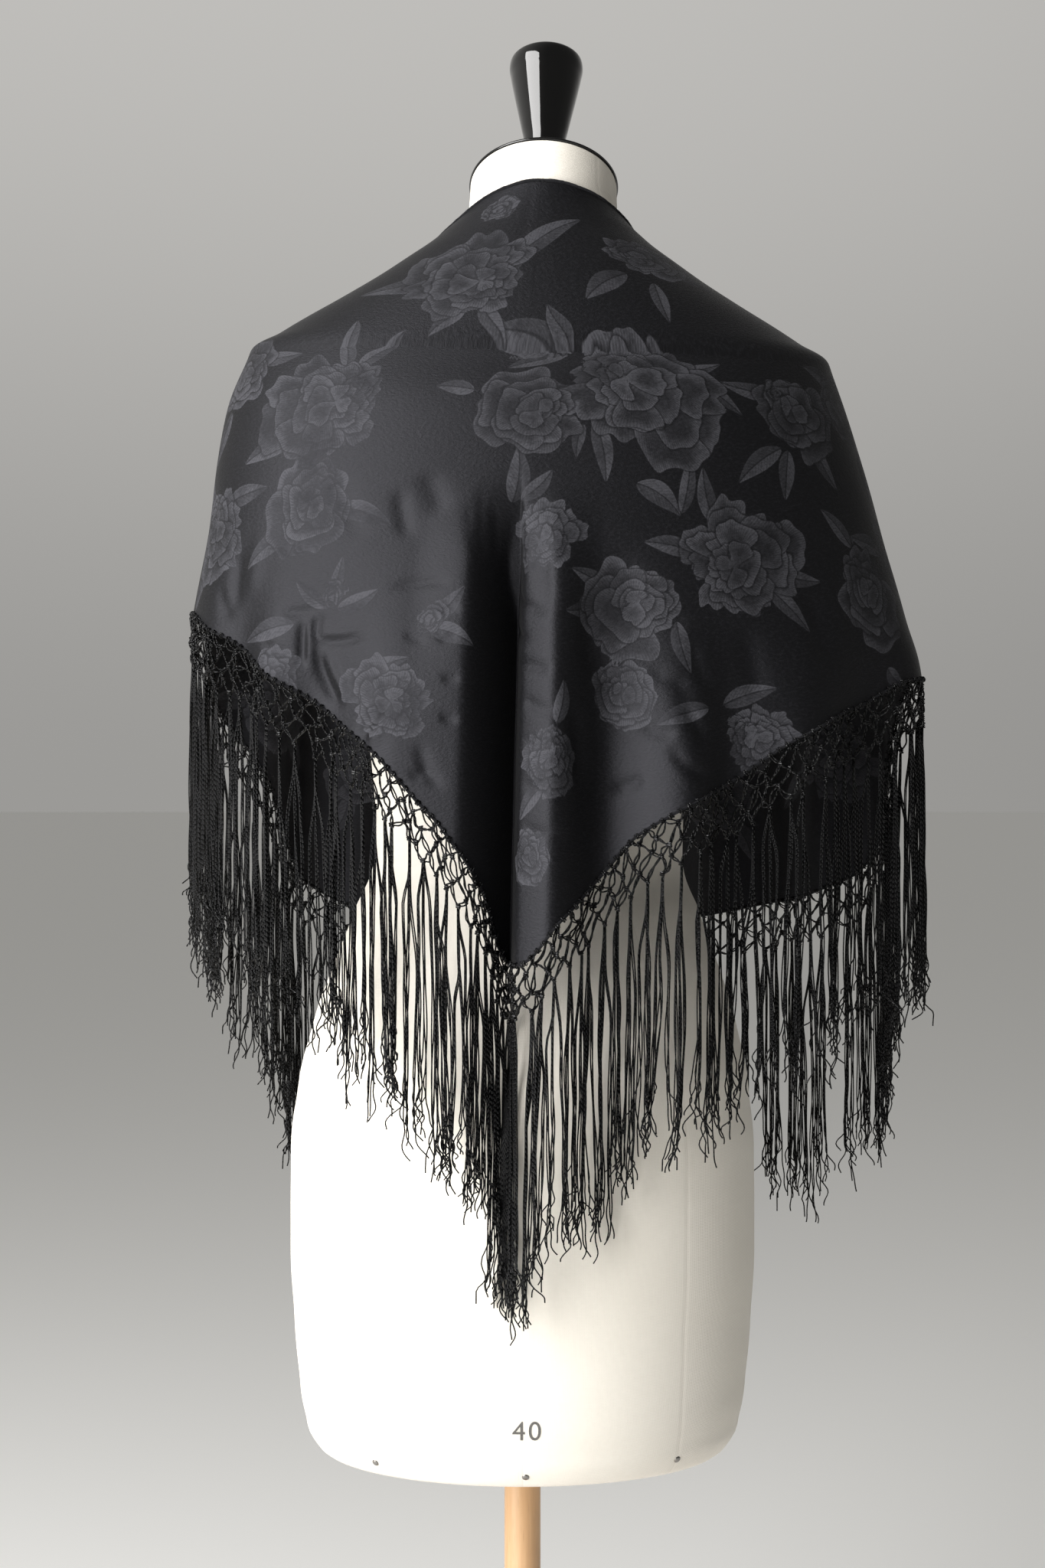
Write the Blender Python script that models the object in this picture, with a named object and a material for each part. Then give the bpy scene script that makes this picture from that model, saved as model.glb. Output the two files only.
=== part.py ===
"""Fringed silk shawl worn on a limbless dress form on a turned wooden stand.

Metres, +Z up. The wearer's back faces -Y and the chest faces +Y. The origin is the
centre of the stand's flat underside. The shawl is half of a square of damask, worn
with its long edge round the neck, its right-angled corner low on the back, and its
two long points hanging in front. Its two short edges carry a knotted fringe.

Angles run round the figure in degrees: 0 is the centre back, 90 the right of a viewer
who faces the back, 180 the centre front, and -90 the viewer's left. A level is a
height above the floor before the neck's slant and the form's lean are added.
"""

import math
from collections import namedtuple

import bpy
import numpy as np

# Stand and neck fittings
BASE_RADIUS = 0.175
BASE_EDGE_HEIGHT = 0.018
BASE_TOP_HEIGHT = 0.030
BASE_BOSS_RADIUS = 0.034
BASE_BOSS_HEIGHT = 0.058
BASE_SOCKET_FLOOR = 0.016
POLE_RADIUS = 0.0135
POLE_INTO_FORM = 0.080
FIT_GAP = 0.0003
PLATE_INSET = 0.0002
PLATE_THICKNESS = 0.002
ROUND_SIDES = 24

# Form: the neck is cut on a slant, lower in front, and the upper body leans to the right
SHOULDER_LEVEL = 1.365
NECK_TOP_LEVEL = 1.494
NECK_SLANT = 0.36
SLANT_FROM_LEVEL = 1.360
SLANT_FULL_LEVEL = 1.470
LEAN = 0.0228
LEAN_FROM_LEVEL = 0.80
LEAN_FULL_LEVEL = 1.20
FORM_SIDES = 28
LONGEST_FORM_STEP = 0.018

# Cloth
CLOTH_THICKNESS = 0.0015
CLOTH_TO_FORM = 0.0016
FOLD_TO_FORM = 0.0040
SHOULDER_ROWS = 7
HANGING_ROWS = 9
WIDEST_COLUMN_DEG = 6.5
FOLD_GROWTH = 0.18

# Fringe
TIP_ANGLE = -2.6
TASSELS_PER_LEG = 60
STRIP_GAP = 0.0015
STRIP_DEPTH = 0.004
STRIP_END_GAP = 0.0020
TURN_OVER = 0.005
FIRST_KNOTS = 0.021
SECOND_KNOTS = 0.043
KNOT_HALF_HEIGHT = 0.0028
CORD_WIDTH = 0.0022
STRIP_SNAP = CORD_WIDTH / 2
CORD_THICKNESS = 0.0014
FRINGE_LENGTH = 0.232
STRAND_SEGMENTS = 2
STRAND_END_WIDTH = 0.0042
STRAND_SWAY = 0.0015
STRAND_CLEARANCE = 0.0045

Section = namedtuple("Section", "level half_width back front")
Hang = namedtuple("Hang", "level left right back front")
Fold = namedtuple("Fold", "angle push top")
Edge = namedtuple("Edge", "angle level")
Turned = namedtuple("Turned", "radius height")

FORM_SECTIONS = (
    Section(0.554, 0.1440, 0.0980, 0.0900),
    Section(0.562, 0.1540, 0.1060, 0.0970),
    Section(0.580, 0.1615, 0.1125, 0.1015),
    Section(0.612, 0.1665, 0.1170, 0.1040),
    Section(0.660, 0.1705, 0.1205, 0.1060),
    Section(0.715, 0.1730, 0.1245, 0.1080),
    Section(0.770, 0.1727, 0.1265, 0.1075),
    Section(0.820, 0.1685, 0.1240, 0.1050),
    Section(0.865, 0.1595, 0.1150, 0.1015),
    Section(0.910, 0.1455, 0.1010, 0.0975),
    Section(0.955, 0.1290, 0.0870, 0.0920),
    Section(1.005, 0.1150, 0.0760, 0.0865),
    Section(1.055, 0.1180, 0.0755, 0.0865),
    Section(1.110, 0.1290, 0.0835, 0.0960),
    Section(1.165, 0.1395, 0.0960, 0.1170),
    Section(1.220, 0.1500, 0.1090, 0.1400),
    Section(1.265, 0.1570, 0.1145, 0.1350),
    Section(1.305, 0.1660, 0.1140, 0.1150),
    Section(1.335, 0.1830, 0.1085, 0.0990),
    Section(1.353, 0.2020, 0.1030, 0.0910),
    Section(SHOULDER_LEVEL, 0.2145, 0.0990, 0.0865),
    Section(1.375, 0.1980, 0.0960, 0.0830),
    Section(1.385, 0.1815, 0.0925, 0.0790),
    Section(1.400, 0.1530, 0.0860, 0.0730),
    Section(1.425, 0.1085, 0.0730, 0.0640),
    Section(1.4445, 0.0785, 0.0640, 0.0590),
    Section(1.455, 0.0665, 0.0610, 0.0580),
    Section(1.466, 0.0585, 0.0590, 0.0575),
    Section(1.479, 0.0553, 0.0580, 0.0570),
    Section(NECK_TOP_LEVEL, 0.0546, 0.0575, 0.0565),
)

# Below the shoulders the cloth lets go of the form and flares
HANG_SECTIONS = (
    Hang(1.310, 0.2350, 0.2365, 0.1200, 0.1190),
    Hang(1.230, 0.2440, 0.2610, 0.1275, 0.1490),
    Hang(1.176, 0.2520, 0.2765, 0.1320, 0.1540),
    Hang(1.130, 0.2570, 0.2875, 0.1360, 0.1580),
    Hang(1.050, 0.2610, 0.2930, 0.1430, 0.1630),
    Hang(0.900, 0.2650, 0.2980, 0.1520, 0.1690),
)

# Crests push outwards and troughs push inwards; each starts at its own top level
FOLDS = (
    Fold(-157.5, 0.004, 1.24),
    Fold(-149.0, -0.010, 1.22),
    Fold(-139.0, 0.010, 1.22),
    Fold(-127.0, -0.014, 1.24),
    Fold(-114.0, 0.011, 1.26),
    Fold(-101.0, -0.010, 1.24),
    Fold(-88.0, 0.003, 1.26),
    Fold(-66.0, 0.005, 1.28),
    Fold(-55.0, -0.007, 1.27),
    Fold(-46.0, 0.004, 1.25),
    Fold(-36.0, -0.011, 1.23),
    Fold(-20.0, 0.012, 1.25),
    Fold(-11.5, 0.007, 1.27),
    Fold(-2.6, -0.030, 1.29),
    Fold(4.0, 0.010, 1.24),
    Fold(10.5, -0.016, 1.24),
    Fold(21.5, 0.013, 1.22),
    Fold(29.0, -0.012, 1.21),
    Fold(41.5, 0.011, 1.22),
    Fold(56.5, -0.014, 1.23),
    Fold(74.0, 0.008, 1.25),
    Fold(90.0, 0.002, 1.26),
    Fold(103.0, -0.012, 1.24),
    Fold(116.0, 0.011, 1.24),
    Fold(128.0, -0.013, 1.22),
    Fold(140.0, 0.010, 1.22),
    Fold(149.0, -0.008, 1.22),
    Fold(157.5, 0.004, 1.24),
)

# The long edge round the neck, and the two short edges that carry the fringe
LONG_EDGE = (
    Edge(-157.5, 1.424),
    Edge(-110.0, 1.434),
    Edge(-60.0, 1.449),
    Edge(-25.0, 1.461),
    Edge(0.0, 1.4635),
    Edge(25.0, 1.462),
    Edge(60.0, 1.456),
    Edge(110.0, 1.443),
    Edge(157.5, 1.428),
)

HEM = (
    Edge(-157.5, 0.936),
    Edge(-140.0, 0.965),
    Edge(-131.0, 1.010),
    Edge(-124.0, 1.055),
    Edge(-116.0, 1.095),
    Edge(-105.0, 1.135),
    Edge(-88.0, 1.170),
    Edge(-66.0, 1.156),
    Edge(-46.0, 1.122),
    Edge(-30.0, 1.086),
    Edge(-16.0, 1.033),
    Edge(-11.5, 1.010),
    Edge(-7.0, 0.976),
    Edge(TIP_ANGLE, 0.926),
    Edge(4.0, 0.956),
    Edge(10.5, 0.990),
    Edge(16.0, 1.020),
    Edge(29.0, 1.054),
    Edge(41.5, 1.090),
    Edge(56.5, 1.112),
    Edge(74.0, 1.132),
    Edge(90.0, 1.134),
    Edge(105.0, 1.075),
    Edge(115.0, 1.010),
    Edge(123.0, 0.975),
    Edge(140.0, 0.955),
    Edge(157.5, 0.938),
)

HANDLE_PROFILE = (
    Turned(0.0150, 0.0000),
    Turned(0.0150, 0.0030),
    Turned(0.0122, 0.0080),
    Turned(0.0118, 0.0170),
    Turned(0.0152, 0.0380),
    Turned(0.0272, 0.0930),
    Turned(0.0278, 0.0990),
    Turned(0.0262, 0.1060),
    Turned(0.0200, 0.1105),
    Turned(0.0000, 0.1130),
)


def smooth_step(share):
    share = np.clip(share, 0.0, 1.0)
    return share * share * (3.0 - 2.0 * share)


def column(rows, name):
    return np.array([getattr(row, name) for row in rows])


def through(rows, along, name, place):
    """The named column of a table at a place, on a cubic curve that never overshoots the rows."""
    x, y = column(rows, along), column(rows, name)
    steps = np.diff(x)
    rises = np.diff(y) / steps
    slopes = np.concatenate([rises[:1], np.zeros(len(x) - 2), rises[-1:]])
    same_way = rises[:-1] * rises[1:] > 0
    with np.errstate(divide="ignore", invalid="ignore"):
        mean = 2.0 * rises[:-1] * rises[1:] / (rises[:-1] + rises[1:])
    slopes[1:-1] = np.where(same_way, mean, 0.0)
    place = np.clip(place, x[0], x[-1])
    row = np.clip(np.searchsorted(x, place, side="right") - 1, 0, len(steps) - 1)
    step, share = steps[row], (place - x[row]) / steps[row]
    from_start = y[row] + share * step * slopes[row]
    from_end = y[row + 1] - (1.0 - share) * step * slopes[row + 1]
    blend = smooth_step(share)
    return from_start * (1.0 - blend) + from_end * blend


def set_in_space(level, x, y):
    """Adds the neck's slant and the lean of the upper body."""
    slant_share = (level - SLANT_FROM_LEVEL) / (SLANT_FULL_LEVEL - SLANT_FROM_LEVEL)
    lean_share = (level - LEAN_FROM_LEVEL) / (LEAN_FULL_LEVEL - LEAN_FROM_LEVEL)
    z = level - NECK_SLANT * smooth_step(slant_share) * y
    z = z - LEAN * smooth_step(lean_share) * x
    return np.array([x + LEAN * max(level - LEAN_FROM_LEVEL, 0.0), y, z])


def outline(angle, left, right, back, front):
    """A point of a full oval round the figure, and the direction that faces out of it there."""
    s, c = math.sin(math.radians(angle)), math.cos(math.radians(angle))
    width = right if s > 0 else left
    depth = back if c > 0 else front
    out = np.array([s / width, -c / depth])
    return width * s, -depth * c, out / np.linalg.norm(out)


def form_outline(level, stand_off):
    half_width = through(FORM_SECTIONS, "level", "half_width", level) + stand_off
    back = through(FORM_SECTIONS, "level", "back", level) + stand_off
    front = through(FORM_SECTIONS, "level", "front", level) + stand_off
    return half_width, half_width, back, front


def form_point(level, angle):
    x, y, _ = outline(angle, *form_outline(level, 0.0))
    return set_in_space(level, x, y)


def square_off(surface, level, angle, distance):
    """A point this far outside a surface, measured square to it."""
    step = 0.002
    up = surface(level + step, angle) - surface(level - step, angle)
    around = surface(level, angle + 0.5) - surface(level, angle - 0.5)
    out = np.cross(around, up)
    return surface(level, angle) + distance * out / np.linalg.norm(out)


def form_levels():
    """The levels of the table, with more between them where its outline is long."""
    levels = [FORM_SECTIONS[0].level]
    for low, high in zip(FORM_SECTIONS[:-1], FORM_SECTIONS[1:]):
        step = math.hypot(high.level - low.level, high.half_width - low.half_width)
        shoulder = low.level >= SHOULDER_LEVEL
        count = math.ceil(step / LONGEST_FORM_STEP) if shoulder else 1
        levels.extend(np.linspace(low.level, high.level, count + 1)[1:])
    return levels


def clear_of_form(x, y, level, clearance):
    """Moves a point outwards, where it has to, until it stands clear of the form."""
    half_width, _, back, front = form_outline(level, clearance)
    depth = back if y < 0 else front
    grow = max(1.0, 1.0 / math.hypot(x / half_width, y / depth))
    return x * grow, y * grow


def hang_rows():
    """The hanging outline, starting from the cloth that lies on the shoulders."""
    on_shoulders = form_outline(SHOULDER_LEVEL, CLOTH_TO_FORM + CLOTH_THICKNESS)
    return sorted((Hang(SHOULDER_LEVEL, *on_shoulders), *HANG_SECTIONS))


HANG_ROWS = hang_rows()


def fold_push(level, angle):
    grown = FOLD_SIZES * smooth_step((FOLD_TOPS - level) / FOLD_GROWTH)
    after = int(np.clip(np.searchsorted(FOLD_ANGLES, angle), 1, len(FOLDS) - 1))
    share = (angle - FOLD_ANGLES[after - 1]) / (FOLD_ANGLES[after] - FOLD_ANGLES[after - 1])
    blend = smooth_step(share)
    return grown[after - 1] * (1.0 - blend) + grown[after] * blend


FOLD_ANGLES = column(FOLDS, "angle")
FOLD_SIZES = column(FOLDS, "push")
FOLD_TOPS = column(FOLDS, "top")


def cloth_point(level, angle):
    """A point of the cloth's outer face."""
    if level >= SHOULDER_LEVEL:
        return square_off(form_point, level, angle, CLOTH_TO_FORM + CLOTH_THICKNESS)
    sizes = [through(HANG_ROWS, "level", name, level) for name in Hang._fields[1:]]
    x, y, out = outline(angle, *sizes)
    push = fold_push(level, angle)
    share = smooth_step((SHOULDER_LEVEL - level) / FOLD_GROWTH)
    clearance = CLOTH_TO_FORM + CLOTH_THICKNESS + FOLD_TO_FORM * share
    x, y = clear_of_form(x + push * out[0], y + push * out[1], level, clearance)
    return set_in_space(level, x, y)


def edge_level(edge, angle):
    return float(through(edge, "angle", "level", angle))


def cloth_angles():
    """Every crest and trough, with enough columns between them to stay round."""
    angles = [FOLD_ANGLES[0]]
    for start, end in zip(FOLD_ANGLES[:-1], FOLD_ANGLES[1:]):
        count = max(2, math.ceil((end - start) / WIDEST_COLUMN_DEG))
        angles.extend(np.linspace(start, end, count + 1)[1:])
    return angles


def shoulder_levels(top):
    """Levels from the long edge to the shoulder, closer together as the shoulder turns over."""
    fine = np.linspace(top, SHOULDER_LEVEL, 60)
    width = np.array([form_outline(level, 0.0)[0] for level in fine])
    along = np.concatenate([[0.0], np.cumsum(np.hypot(np.diff(fine), np.diff(width)))])
    shares = 1.0 - np.linspace(1.0, 0.0, SHOULDER_ROWS + 1) ** 1.5
    return np.interp(shares * along[-1], along, fine)


def cloth_column(angle):
    """Points from the long edge over the shoulder and down to the hem."""
    over = shoulder_levels(edge_level(LONG_EDGE, angle))
    down = np.linspace(SHOULDER_LEVEL, edge_level(HEM, angle), HANGING_ROWS + 1)[1:]
    return [cloth_point(level, angle) for level in (*over, *down)]


def new_object(name, points, faces, parent=None):
    mesh = bpy.data.meshes.new(name)
    mesh.from_pydata([tuple(map(float, point)) for point in points], [], faces)
    mesh.validate()
    made = bpy.data.objects.new(name, mesh)
    bpy.context.scene.collection.objects.link(made)
    made.parent = parent
    return made


def finish_with(made, colour, roughness, smooth=True):
    material = bpy.data.materials.new(made.name)
    material.use_nodes = True
    shader = material.node_tree.nodes["Principled BSDF"]
    shader.inputs["Base Color"].default_value = (*colour, 1.0)
    shader.inputs["Roughness"].default_value = roughness
    made.data.materials.append(material)
    if smooth:
        made.data.shade_smooth()
        made.data.set_sharp_from_angle(angle=math.radians(40))


def lofted(name, rings, parent=None):
    """A closed skin over rings of equal count, bottom to top, closed by a fan at each end."""
    count = len(rings[0])
    points = [point for ring in rings for point in ring]
    faces = []
    for low in range(0, (len(rings) - 1) * count, count):
        for side in range(count):
            after = (side + 1) % count
            faces.append((low + side, low + after, low + count + after, low + count + side))
    for ring, turn in ((0, -1), (len(rings) - 1, 1)):
        centre = len(points)
        points.append(np.mean(rings[ring], axis=0))
        for side in range(count):
            edge = [ring * count + side, ring * count + (side + 1) % count][::turn]
            faces.append((*edge, centre))
    return new_object(name, points, faces, parent)


def circle(radius, height, sides=ROUND_SIDES):
    turns = [2 * math.pi * side / sides for side in range(sides)]
    return [(radius * math.cos(t), radius * math.sin(t), height) for t in turns]


def make_base():
    """Turned wooden foot: a low disc with a boss that holds the pole."""
    socket = POLE_RADIUS + FIT_GAP
    rings = (
        circle(BASE_RADIUS - 0.003, 0.0),
        circle(BASE_RADIUS, 0.003),
        circle(BASE_RADIUS, BASE_EDGE_HEIGHT),
        circle(BASE_RADIUS - 0.006, BASE_EDGE_HEIGHT + 0.005),
        circle(BASE_BOSS_RADIUS + 0.020, BASE_TOP_HEIGHT),
        circle(BASE_BOSS_RADIUS, BASE_TOP_HEIGHT + 0.008),
        circle(BASE_BOSS_RADIUS - 0.005, BASE_BOSS_HEIGHT - 0.004),
        circle(BASE_BOSS_RADIUS - 0.008, BASE_BOSS_HEIGHT),
        circle(socket, BASE_BOSS_HEIGHT),
        circle(socket, BASE_SOCKET_FLOOR),
    )
    made = lofted("base", rings)
    finish_with(made, (0.45, 0.29, 0.17), 0.45)


def make_pole():
    """Round wooden pole from the base's socket up into the form."""
    foot = BASE_SOCKET_FLOOR + FIT_GAP
    top = FORM_SECTIONS[0].level + POLE_INTO_FORM - FIT_GAP
    made = lofted("pole", (circle(POLE_RADIUS, foot), circle(POLE_RADIUS, top)))
    finish_with(made, (0.55, 0.38, 0.24), 0.4)


def make_form():
    """Padded body of the dress form, from its flat bottom to its slanted neck, with the pole's bore."""
    bottom = FORM_SECTIONS[0].level
    angles = [360.0 * side / FORM_SIDES for side in range(FORM_SIDES)]
    bore = circle(POLE_RADIUS + FIT_GAP, 0.0, FORM_SIDES)
    quarter = FORM_SIDES // 4
    bore = bore[-quarter:] + bore[:-quarter]
    rings = [
        [(x, y, bottom + POLE_INTO_FORM) for x, y, _ in bore],
        [(x, y, bottom) for x, y, _ in bore],
    ]
    for level in form_levels():
        rings.append([form_point(level, angle) for angle in angles])
    made = lofted("dress_form", rings)
    finish_with(made, (0.85, 0.82, 0.75), 0.8)


def neck_frame():
    """An empty on the slanted top of the neck, its Z square to it."""
    frame = bpy.data.objects.new("neck_frame", None)
    bpy.context.scene.collection.objects.link(frame)
    frame.location = set_in_space(NECK_TOP_LEVEL, 0.0, 0.0)
    frame.rotation_euler = (-math.atan(NECK_SLANT), LEAN, 0.0)
    return frame


def make_neck_plate(frame):
    """Lacquered wooden plate that closes the neck, a little wider than it."""
    row = FORM_SECTIONS[-1]
    along_slant = math.hypot(1.0, NECK_SLANT)
    half_width = row.half_width - PLATE_INSET
    half_depth = (row.back + row.front) / 2 * along_slant - PLATE_INSET
    shift = (row.front - row.back) / 2 * along_slant

    def ring(inset, height):
        return [
            ((half_width - inset) * x, shift + (half_depth - inset) * y, height)
            for x, y, _ in circle(1.0, 0.0)
        ]

    bevel = PLATE_THICKNESS / 4
    bottom, top = FIT_GAP, FIT_GAP + PLATE_THICKNESS
    rings = (
        ring(bevel, bottom),
        ring(0.0, bottom + bevel),
        ring(0.0, top - bevel),
        ring(bevel, top),
    )
    made = lofted("neck_plate", rings, frame)
    finish_with(made, (0.004, 0.004, 0.004), 0.12)


def make_handle(frame):
    """Turned wooden knob on the plate, flaring upwards to a domed top."""
    foot = PLATE_THICKNESS + 2 * FIT_GAP
    rings = [circle(row.radius, foot + row.height) for row in HANDLE_PROFILE[:-1]]
    made = lofted("neck_handle", rings, frame)
    made.data.vertices[-1].co.z = foot + HANDLE_PROFILE[-1].height
    finish_with(made, (0.004, 0.004, 0.004), 0.10)


def make_cloth():
    """The shawl: one cut of cloth, a wall built inwards from its outer face."""
    columns = [cloth_column(angle) for angle in cloth_angles()]
    rows = len(columns[0])
    points = [point for one in columns for point in one]
    faces = []
    for start in range(0, (len(columns) - 1) * rows, rows):
        for row in range(rows - 1):
            here, across = start + row, start + rows + row
            faces.append((here, here + 1, across + 1, across))
    made = new_object("shawl_cloth", points, faces)
    wall = made.modifiers.new("Wall", "SOLIDIFY")
    wall.thickness = CLOTH_THICKNESS
    wall.offset = -1.0
    finish_with(made, (0.012, 0.012, 0.014), 0.45, smooth=False)
    made.data.shade_smooth()


class Fringe:
    """One leg's fringe, laid out by length along the hem and by drop straight below it."""

    def __init__(self, hem_points):
        self.hem = np.array(hem_points)
        steps = np.linalg.norm(np.diff(self.hem, axis=0), axis=1)
        self.marks = np.concatenate([[0.0], np.cumsum(steps)])
        self.length = float(self.marks[-1])
        self.outer, self.inner, self.faces = [], [], []
        self.made_at = {}

    def place(self, along, drop):
        """A point in the middle of the fringe's thickness, clear of the form."""
        x, y, z = (np.interp(along, self.marks, self.hem[:, axis]) for axis in range(3))
        z -= STRIP_GAP + drop
        lean = LEAN * max(z - LEAN_FROM_LEVEL, 0.0)
        x, y = clear_of_form(x - lean, y, z, STRAND_CLEARANCE)
        return np.array([x + lean, y, z])

    def side(self, along):
        """The level direction along the hem here."""
        way = self.place(along + TURN_OVER, 0.0) - self.place(along - TURN_OVER, 0.0)
        return way * (1.0, 1.0, 0.0) / math.hypot(way[0], way[1])

    def add_point(self, point, side):
        """A pair of corners, half the cords' thickness to either side of the point."""
        out = np.array([side[1], -side[0], 0.0]) * CORD_THICKNESS / 2
        self.outer.append(point + out)
        self.inner.append(point - out)
        return len(self.outer) - 1

    def snapped(self, along):
        """Moves a place on to a corner of the hem that lies close beside it."""
        along = min(max(along, STRIP_END_GAP), self.length)
        nearest = float(self.marks[np.argmin(np.abs(self.marks - along))])
        close = abs(nearest - along) < STRIP_SNAP and nearest > STRIP_END_GAP
        return round(nearest if close else along, 6)

    def corner(self, along, drop):
        """The number of the corner here, shared by every face that meets it."""
        key = (round(along, 6), round(drop, 6))
        if key not in self.made_at:
            self.made_at[key] = self.add_point(self.place(along, drop), self.side(along))
        return self.made_at[key]

    def add(self, first, *others):
        """A flat or slightly bent face, as a fan from its first corner."""
        for second, third in zip(others[:-1], others[1:]):
            self.faces.append([first, second, third])

    def add_strip(self, roots):
        """The sewn strip, from one root or corner of the hem to the next."""
        posts = sorted({self.snapped(place) for place in (STRIP_END_GAP, *roots, *self.marks[1:])})
        feet = {self.snapped(root + step) for root in roots for step in (-CORD_WIDTH, CORD_WIDTH)}
        for start, end in zip(posts[:-1], posts[1:]):
            low = [start, *sorted(foot for foot in feet if start < foot < end), end]
            below = [self.corner(along, STRIP_DEPTH) for along in low]
            top_start, top_end = self.corner(start, 0.0), self.corner(end, 0.0)
            self.add(top_start, below[0], below[1], top_end)
            self.add(top_end, *below[1:])

    def foot(self, along):
        """The corner on the strip's lower edge where a cord starts."""
        return self.corner(self.snapped(along), STRIP_DEPTH)

    def knot(self, along, drop):
        """Four corners of a knot: top, left, bottom and right."""
        wide, tall = CORD_WIDTH, KNOT_HALF_HEIGHT
        around = ((0.0, -tall), (-wide, 0.0), (0.0, tall), (wide, 0.0))
        return [self.corner(along + a, drop + d) for a, d in around]

    def add_strand(self, index, along, knot):
        """One lock of threads under its knot, hanging straight with a little sway."""
        top, left, _, right = knot
        wave = 0.045 * math.sin(2.4 * index) + 0.035 * math.sin(0.9 * index)
        start, end = SECOND_KNOTS + KNOT_HALF_HEIGHT, FRINGE_LENGTH * (1.0 + wave)
        side = self.side(along)
        above = (top, left)
        last = (right,)
        for share in np.linspace(0.0, 1.0, STRAND_SEGMENTS + 1):
            half = (CORD_WIDTH + (STRAND_END_WIDTH - CORD_WIDTH) * share) / 2
            sway = STRAND_SWAY * math.sin(1.9 * index) * math.sin(math.pi * share)
            middle = self.place(along, start + (end - start) * share) + side * sway
            pair = [self.add_point(middle + side * way, side) for way in (-half, half)]
            self.add(*above, *pair, *last)
            above = pair[::-1]
            last = ()

    def body(self):
        """Points and faces of the closed body: outer face, inner face and the rim between."""
        count = len(self.outer)
        faces = [*self.faces, *([corner + count for corner in face[::-1]] for face in self.faces)]
        edges = {(a, b) for face in self.faces for a, b in zip(face, [*face[1:], face[0]])}
        for a, b in sorted(edges):
            if (b, a) not in edges:
                faces.extend(([b, a, a + count], [b, a + count, b + count]))
        return [*self.outer, *self.inner], faces


def make_fringe(name, hem_points):
    """Sewn strip, two rows of knotted net, and the strands below it, fused in one body."""
    fringe = Fringe(hem_points)
    half = CORD_WIDTH
    roots = np.linspace(STRIP_END_GAP + half, fringe.length - half, TASSELS_PER_LEG + 1)
    fringe.add_strip(roots)

    first = [fringe.knot(middle, FIRST_KNOTS) for middle in (roots[:-1] + roots[1:]) / 2]
    for before, after, (top, left, bottom, right) in zip(roots[:-1], roots[1:], first):
        from_left = [fringe.foot(before), fringe.foot(before + half)]
        from_right = [fringe.foot(after - half), fringe.foot(after)]
        fringe.add(top, left, bottom, right)
        fringe.add(from_left[0], left, top, from_left[1])
        fringe.add(from_right[0], top, right, from_right[1])

    for index, along in enumerate(roots):
        knot = fringe.knot(along, SECOND_KNOTS)
        top, left, _, right = knot
        if index > 0:
            _, _, above_bottom, above_right = first[index - 1]
            fringe.add(above_bottom, left, top, above_right)
        if index < TASSELS_PER_LEG:
            _, above_left, above_bottom, _ = first[index]
            fringe.add(above_left, top, right, above_bottom)
        fringe.add_strand(index, along, knot)

    made = new_object(name, *fringe.body())
    finish_with(made, (0.008, 0.008, 0.009), 0.5, smooth=False)


def main():
    for old in list(bpy.data.objects):
        bpy.data.objects.remove(old)
    make_base()
    make_pole()
    make_form()
    frame = neck_frame()
    make_neck_plate(frame)
    make_handle(frame)
    make_cloth()
    angles = cloth_angles()
    middle = -CLOTH_THICKNESS / 2
    hem = [square_off(cloth_point, edge_level(HEM, angle), angle, middle) for angle in angles]
    tip = int(np.argmin(np.abs(np.subtract(angles, TIP_ANGLE))))
    make_fringe("fringe_left", hem[tip::-1])
    make_fringe("fringe_right", hem[tip:])


main()
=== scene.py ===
"""Black damask shawl with a knotted fringe, worn on a padded dress form on a turned wooden stand.

Metres, +Z up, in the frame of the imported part. The wearer's back faces -Y. Angles run round
the figure in degrees: 0 is the centre back, 90 the right of a viewer who faces the back. A
level is a height above the floor before the neck's slant and the form's lean are added.
"""

import math
from collections import namedtuple

import bmesh
import bpy
import numpy as np
from mathutils import Euler, Matrix, Vector


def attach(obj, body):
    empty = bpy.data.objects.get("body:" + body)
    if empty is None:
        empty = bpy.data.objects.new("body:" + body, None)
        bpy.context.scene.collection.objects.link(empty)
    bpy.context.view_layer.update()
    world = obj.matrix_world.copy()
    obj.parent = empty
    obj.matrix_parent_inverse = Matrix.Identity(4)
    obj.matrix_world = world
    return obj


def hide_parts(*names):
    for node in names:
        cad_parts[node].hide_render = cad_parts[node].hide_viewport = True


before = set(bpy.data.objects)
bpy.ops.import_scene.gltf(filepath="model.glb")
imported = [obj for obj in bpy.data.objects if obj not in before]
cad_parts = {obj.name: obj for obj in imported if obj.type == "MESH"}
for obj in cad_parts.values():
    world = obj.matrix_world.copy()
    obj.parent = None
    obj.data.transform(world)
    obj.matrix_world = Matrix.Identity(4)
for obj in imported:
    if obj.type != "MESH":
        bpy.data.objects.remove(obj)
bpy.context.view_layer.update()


# Camera and studio
# A level camera with a 50 mm lens at the height of the waist, 1.63 m behind the figure. The
# studio is a pale floor in pale air that lights the figure softly, with one tall panel to the
# left like a window. The air is dimmer to the right and towards the camera.

CAMERA_PLACE = (0.0, -1.63, 1.05)
FLOOR_SIZE = 160.0
PANEL_PLACE = Vector((-1.85, -1.55, 1.85))
PANEL_AIM = Vector((0.0, 0.0, 1.25))
PANEL_WIDTH = 1.9
PANEL_HEIGHT = 3.0
PANEL_POWER = 168.0
DIM_SIDE = (0.75, -0.66, 0.0)
PALE_AIR = 0.54
DIM_AIR = 0.12


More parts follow.
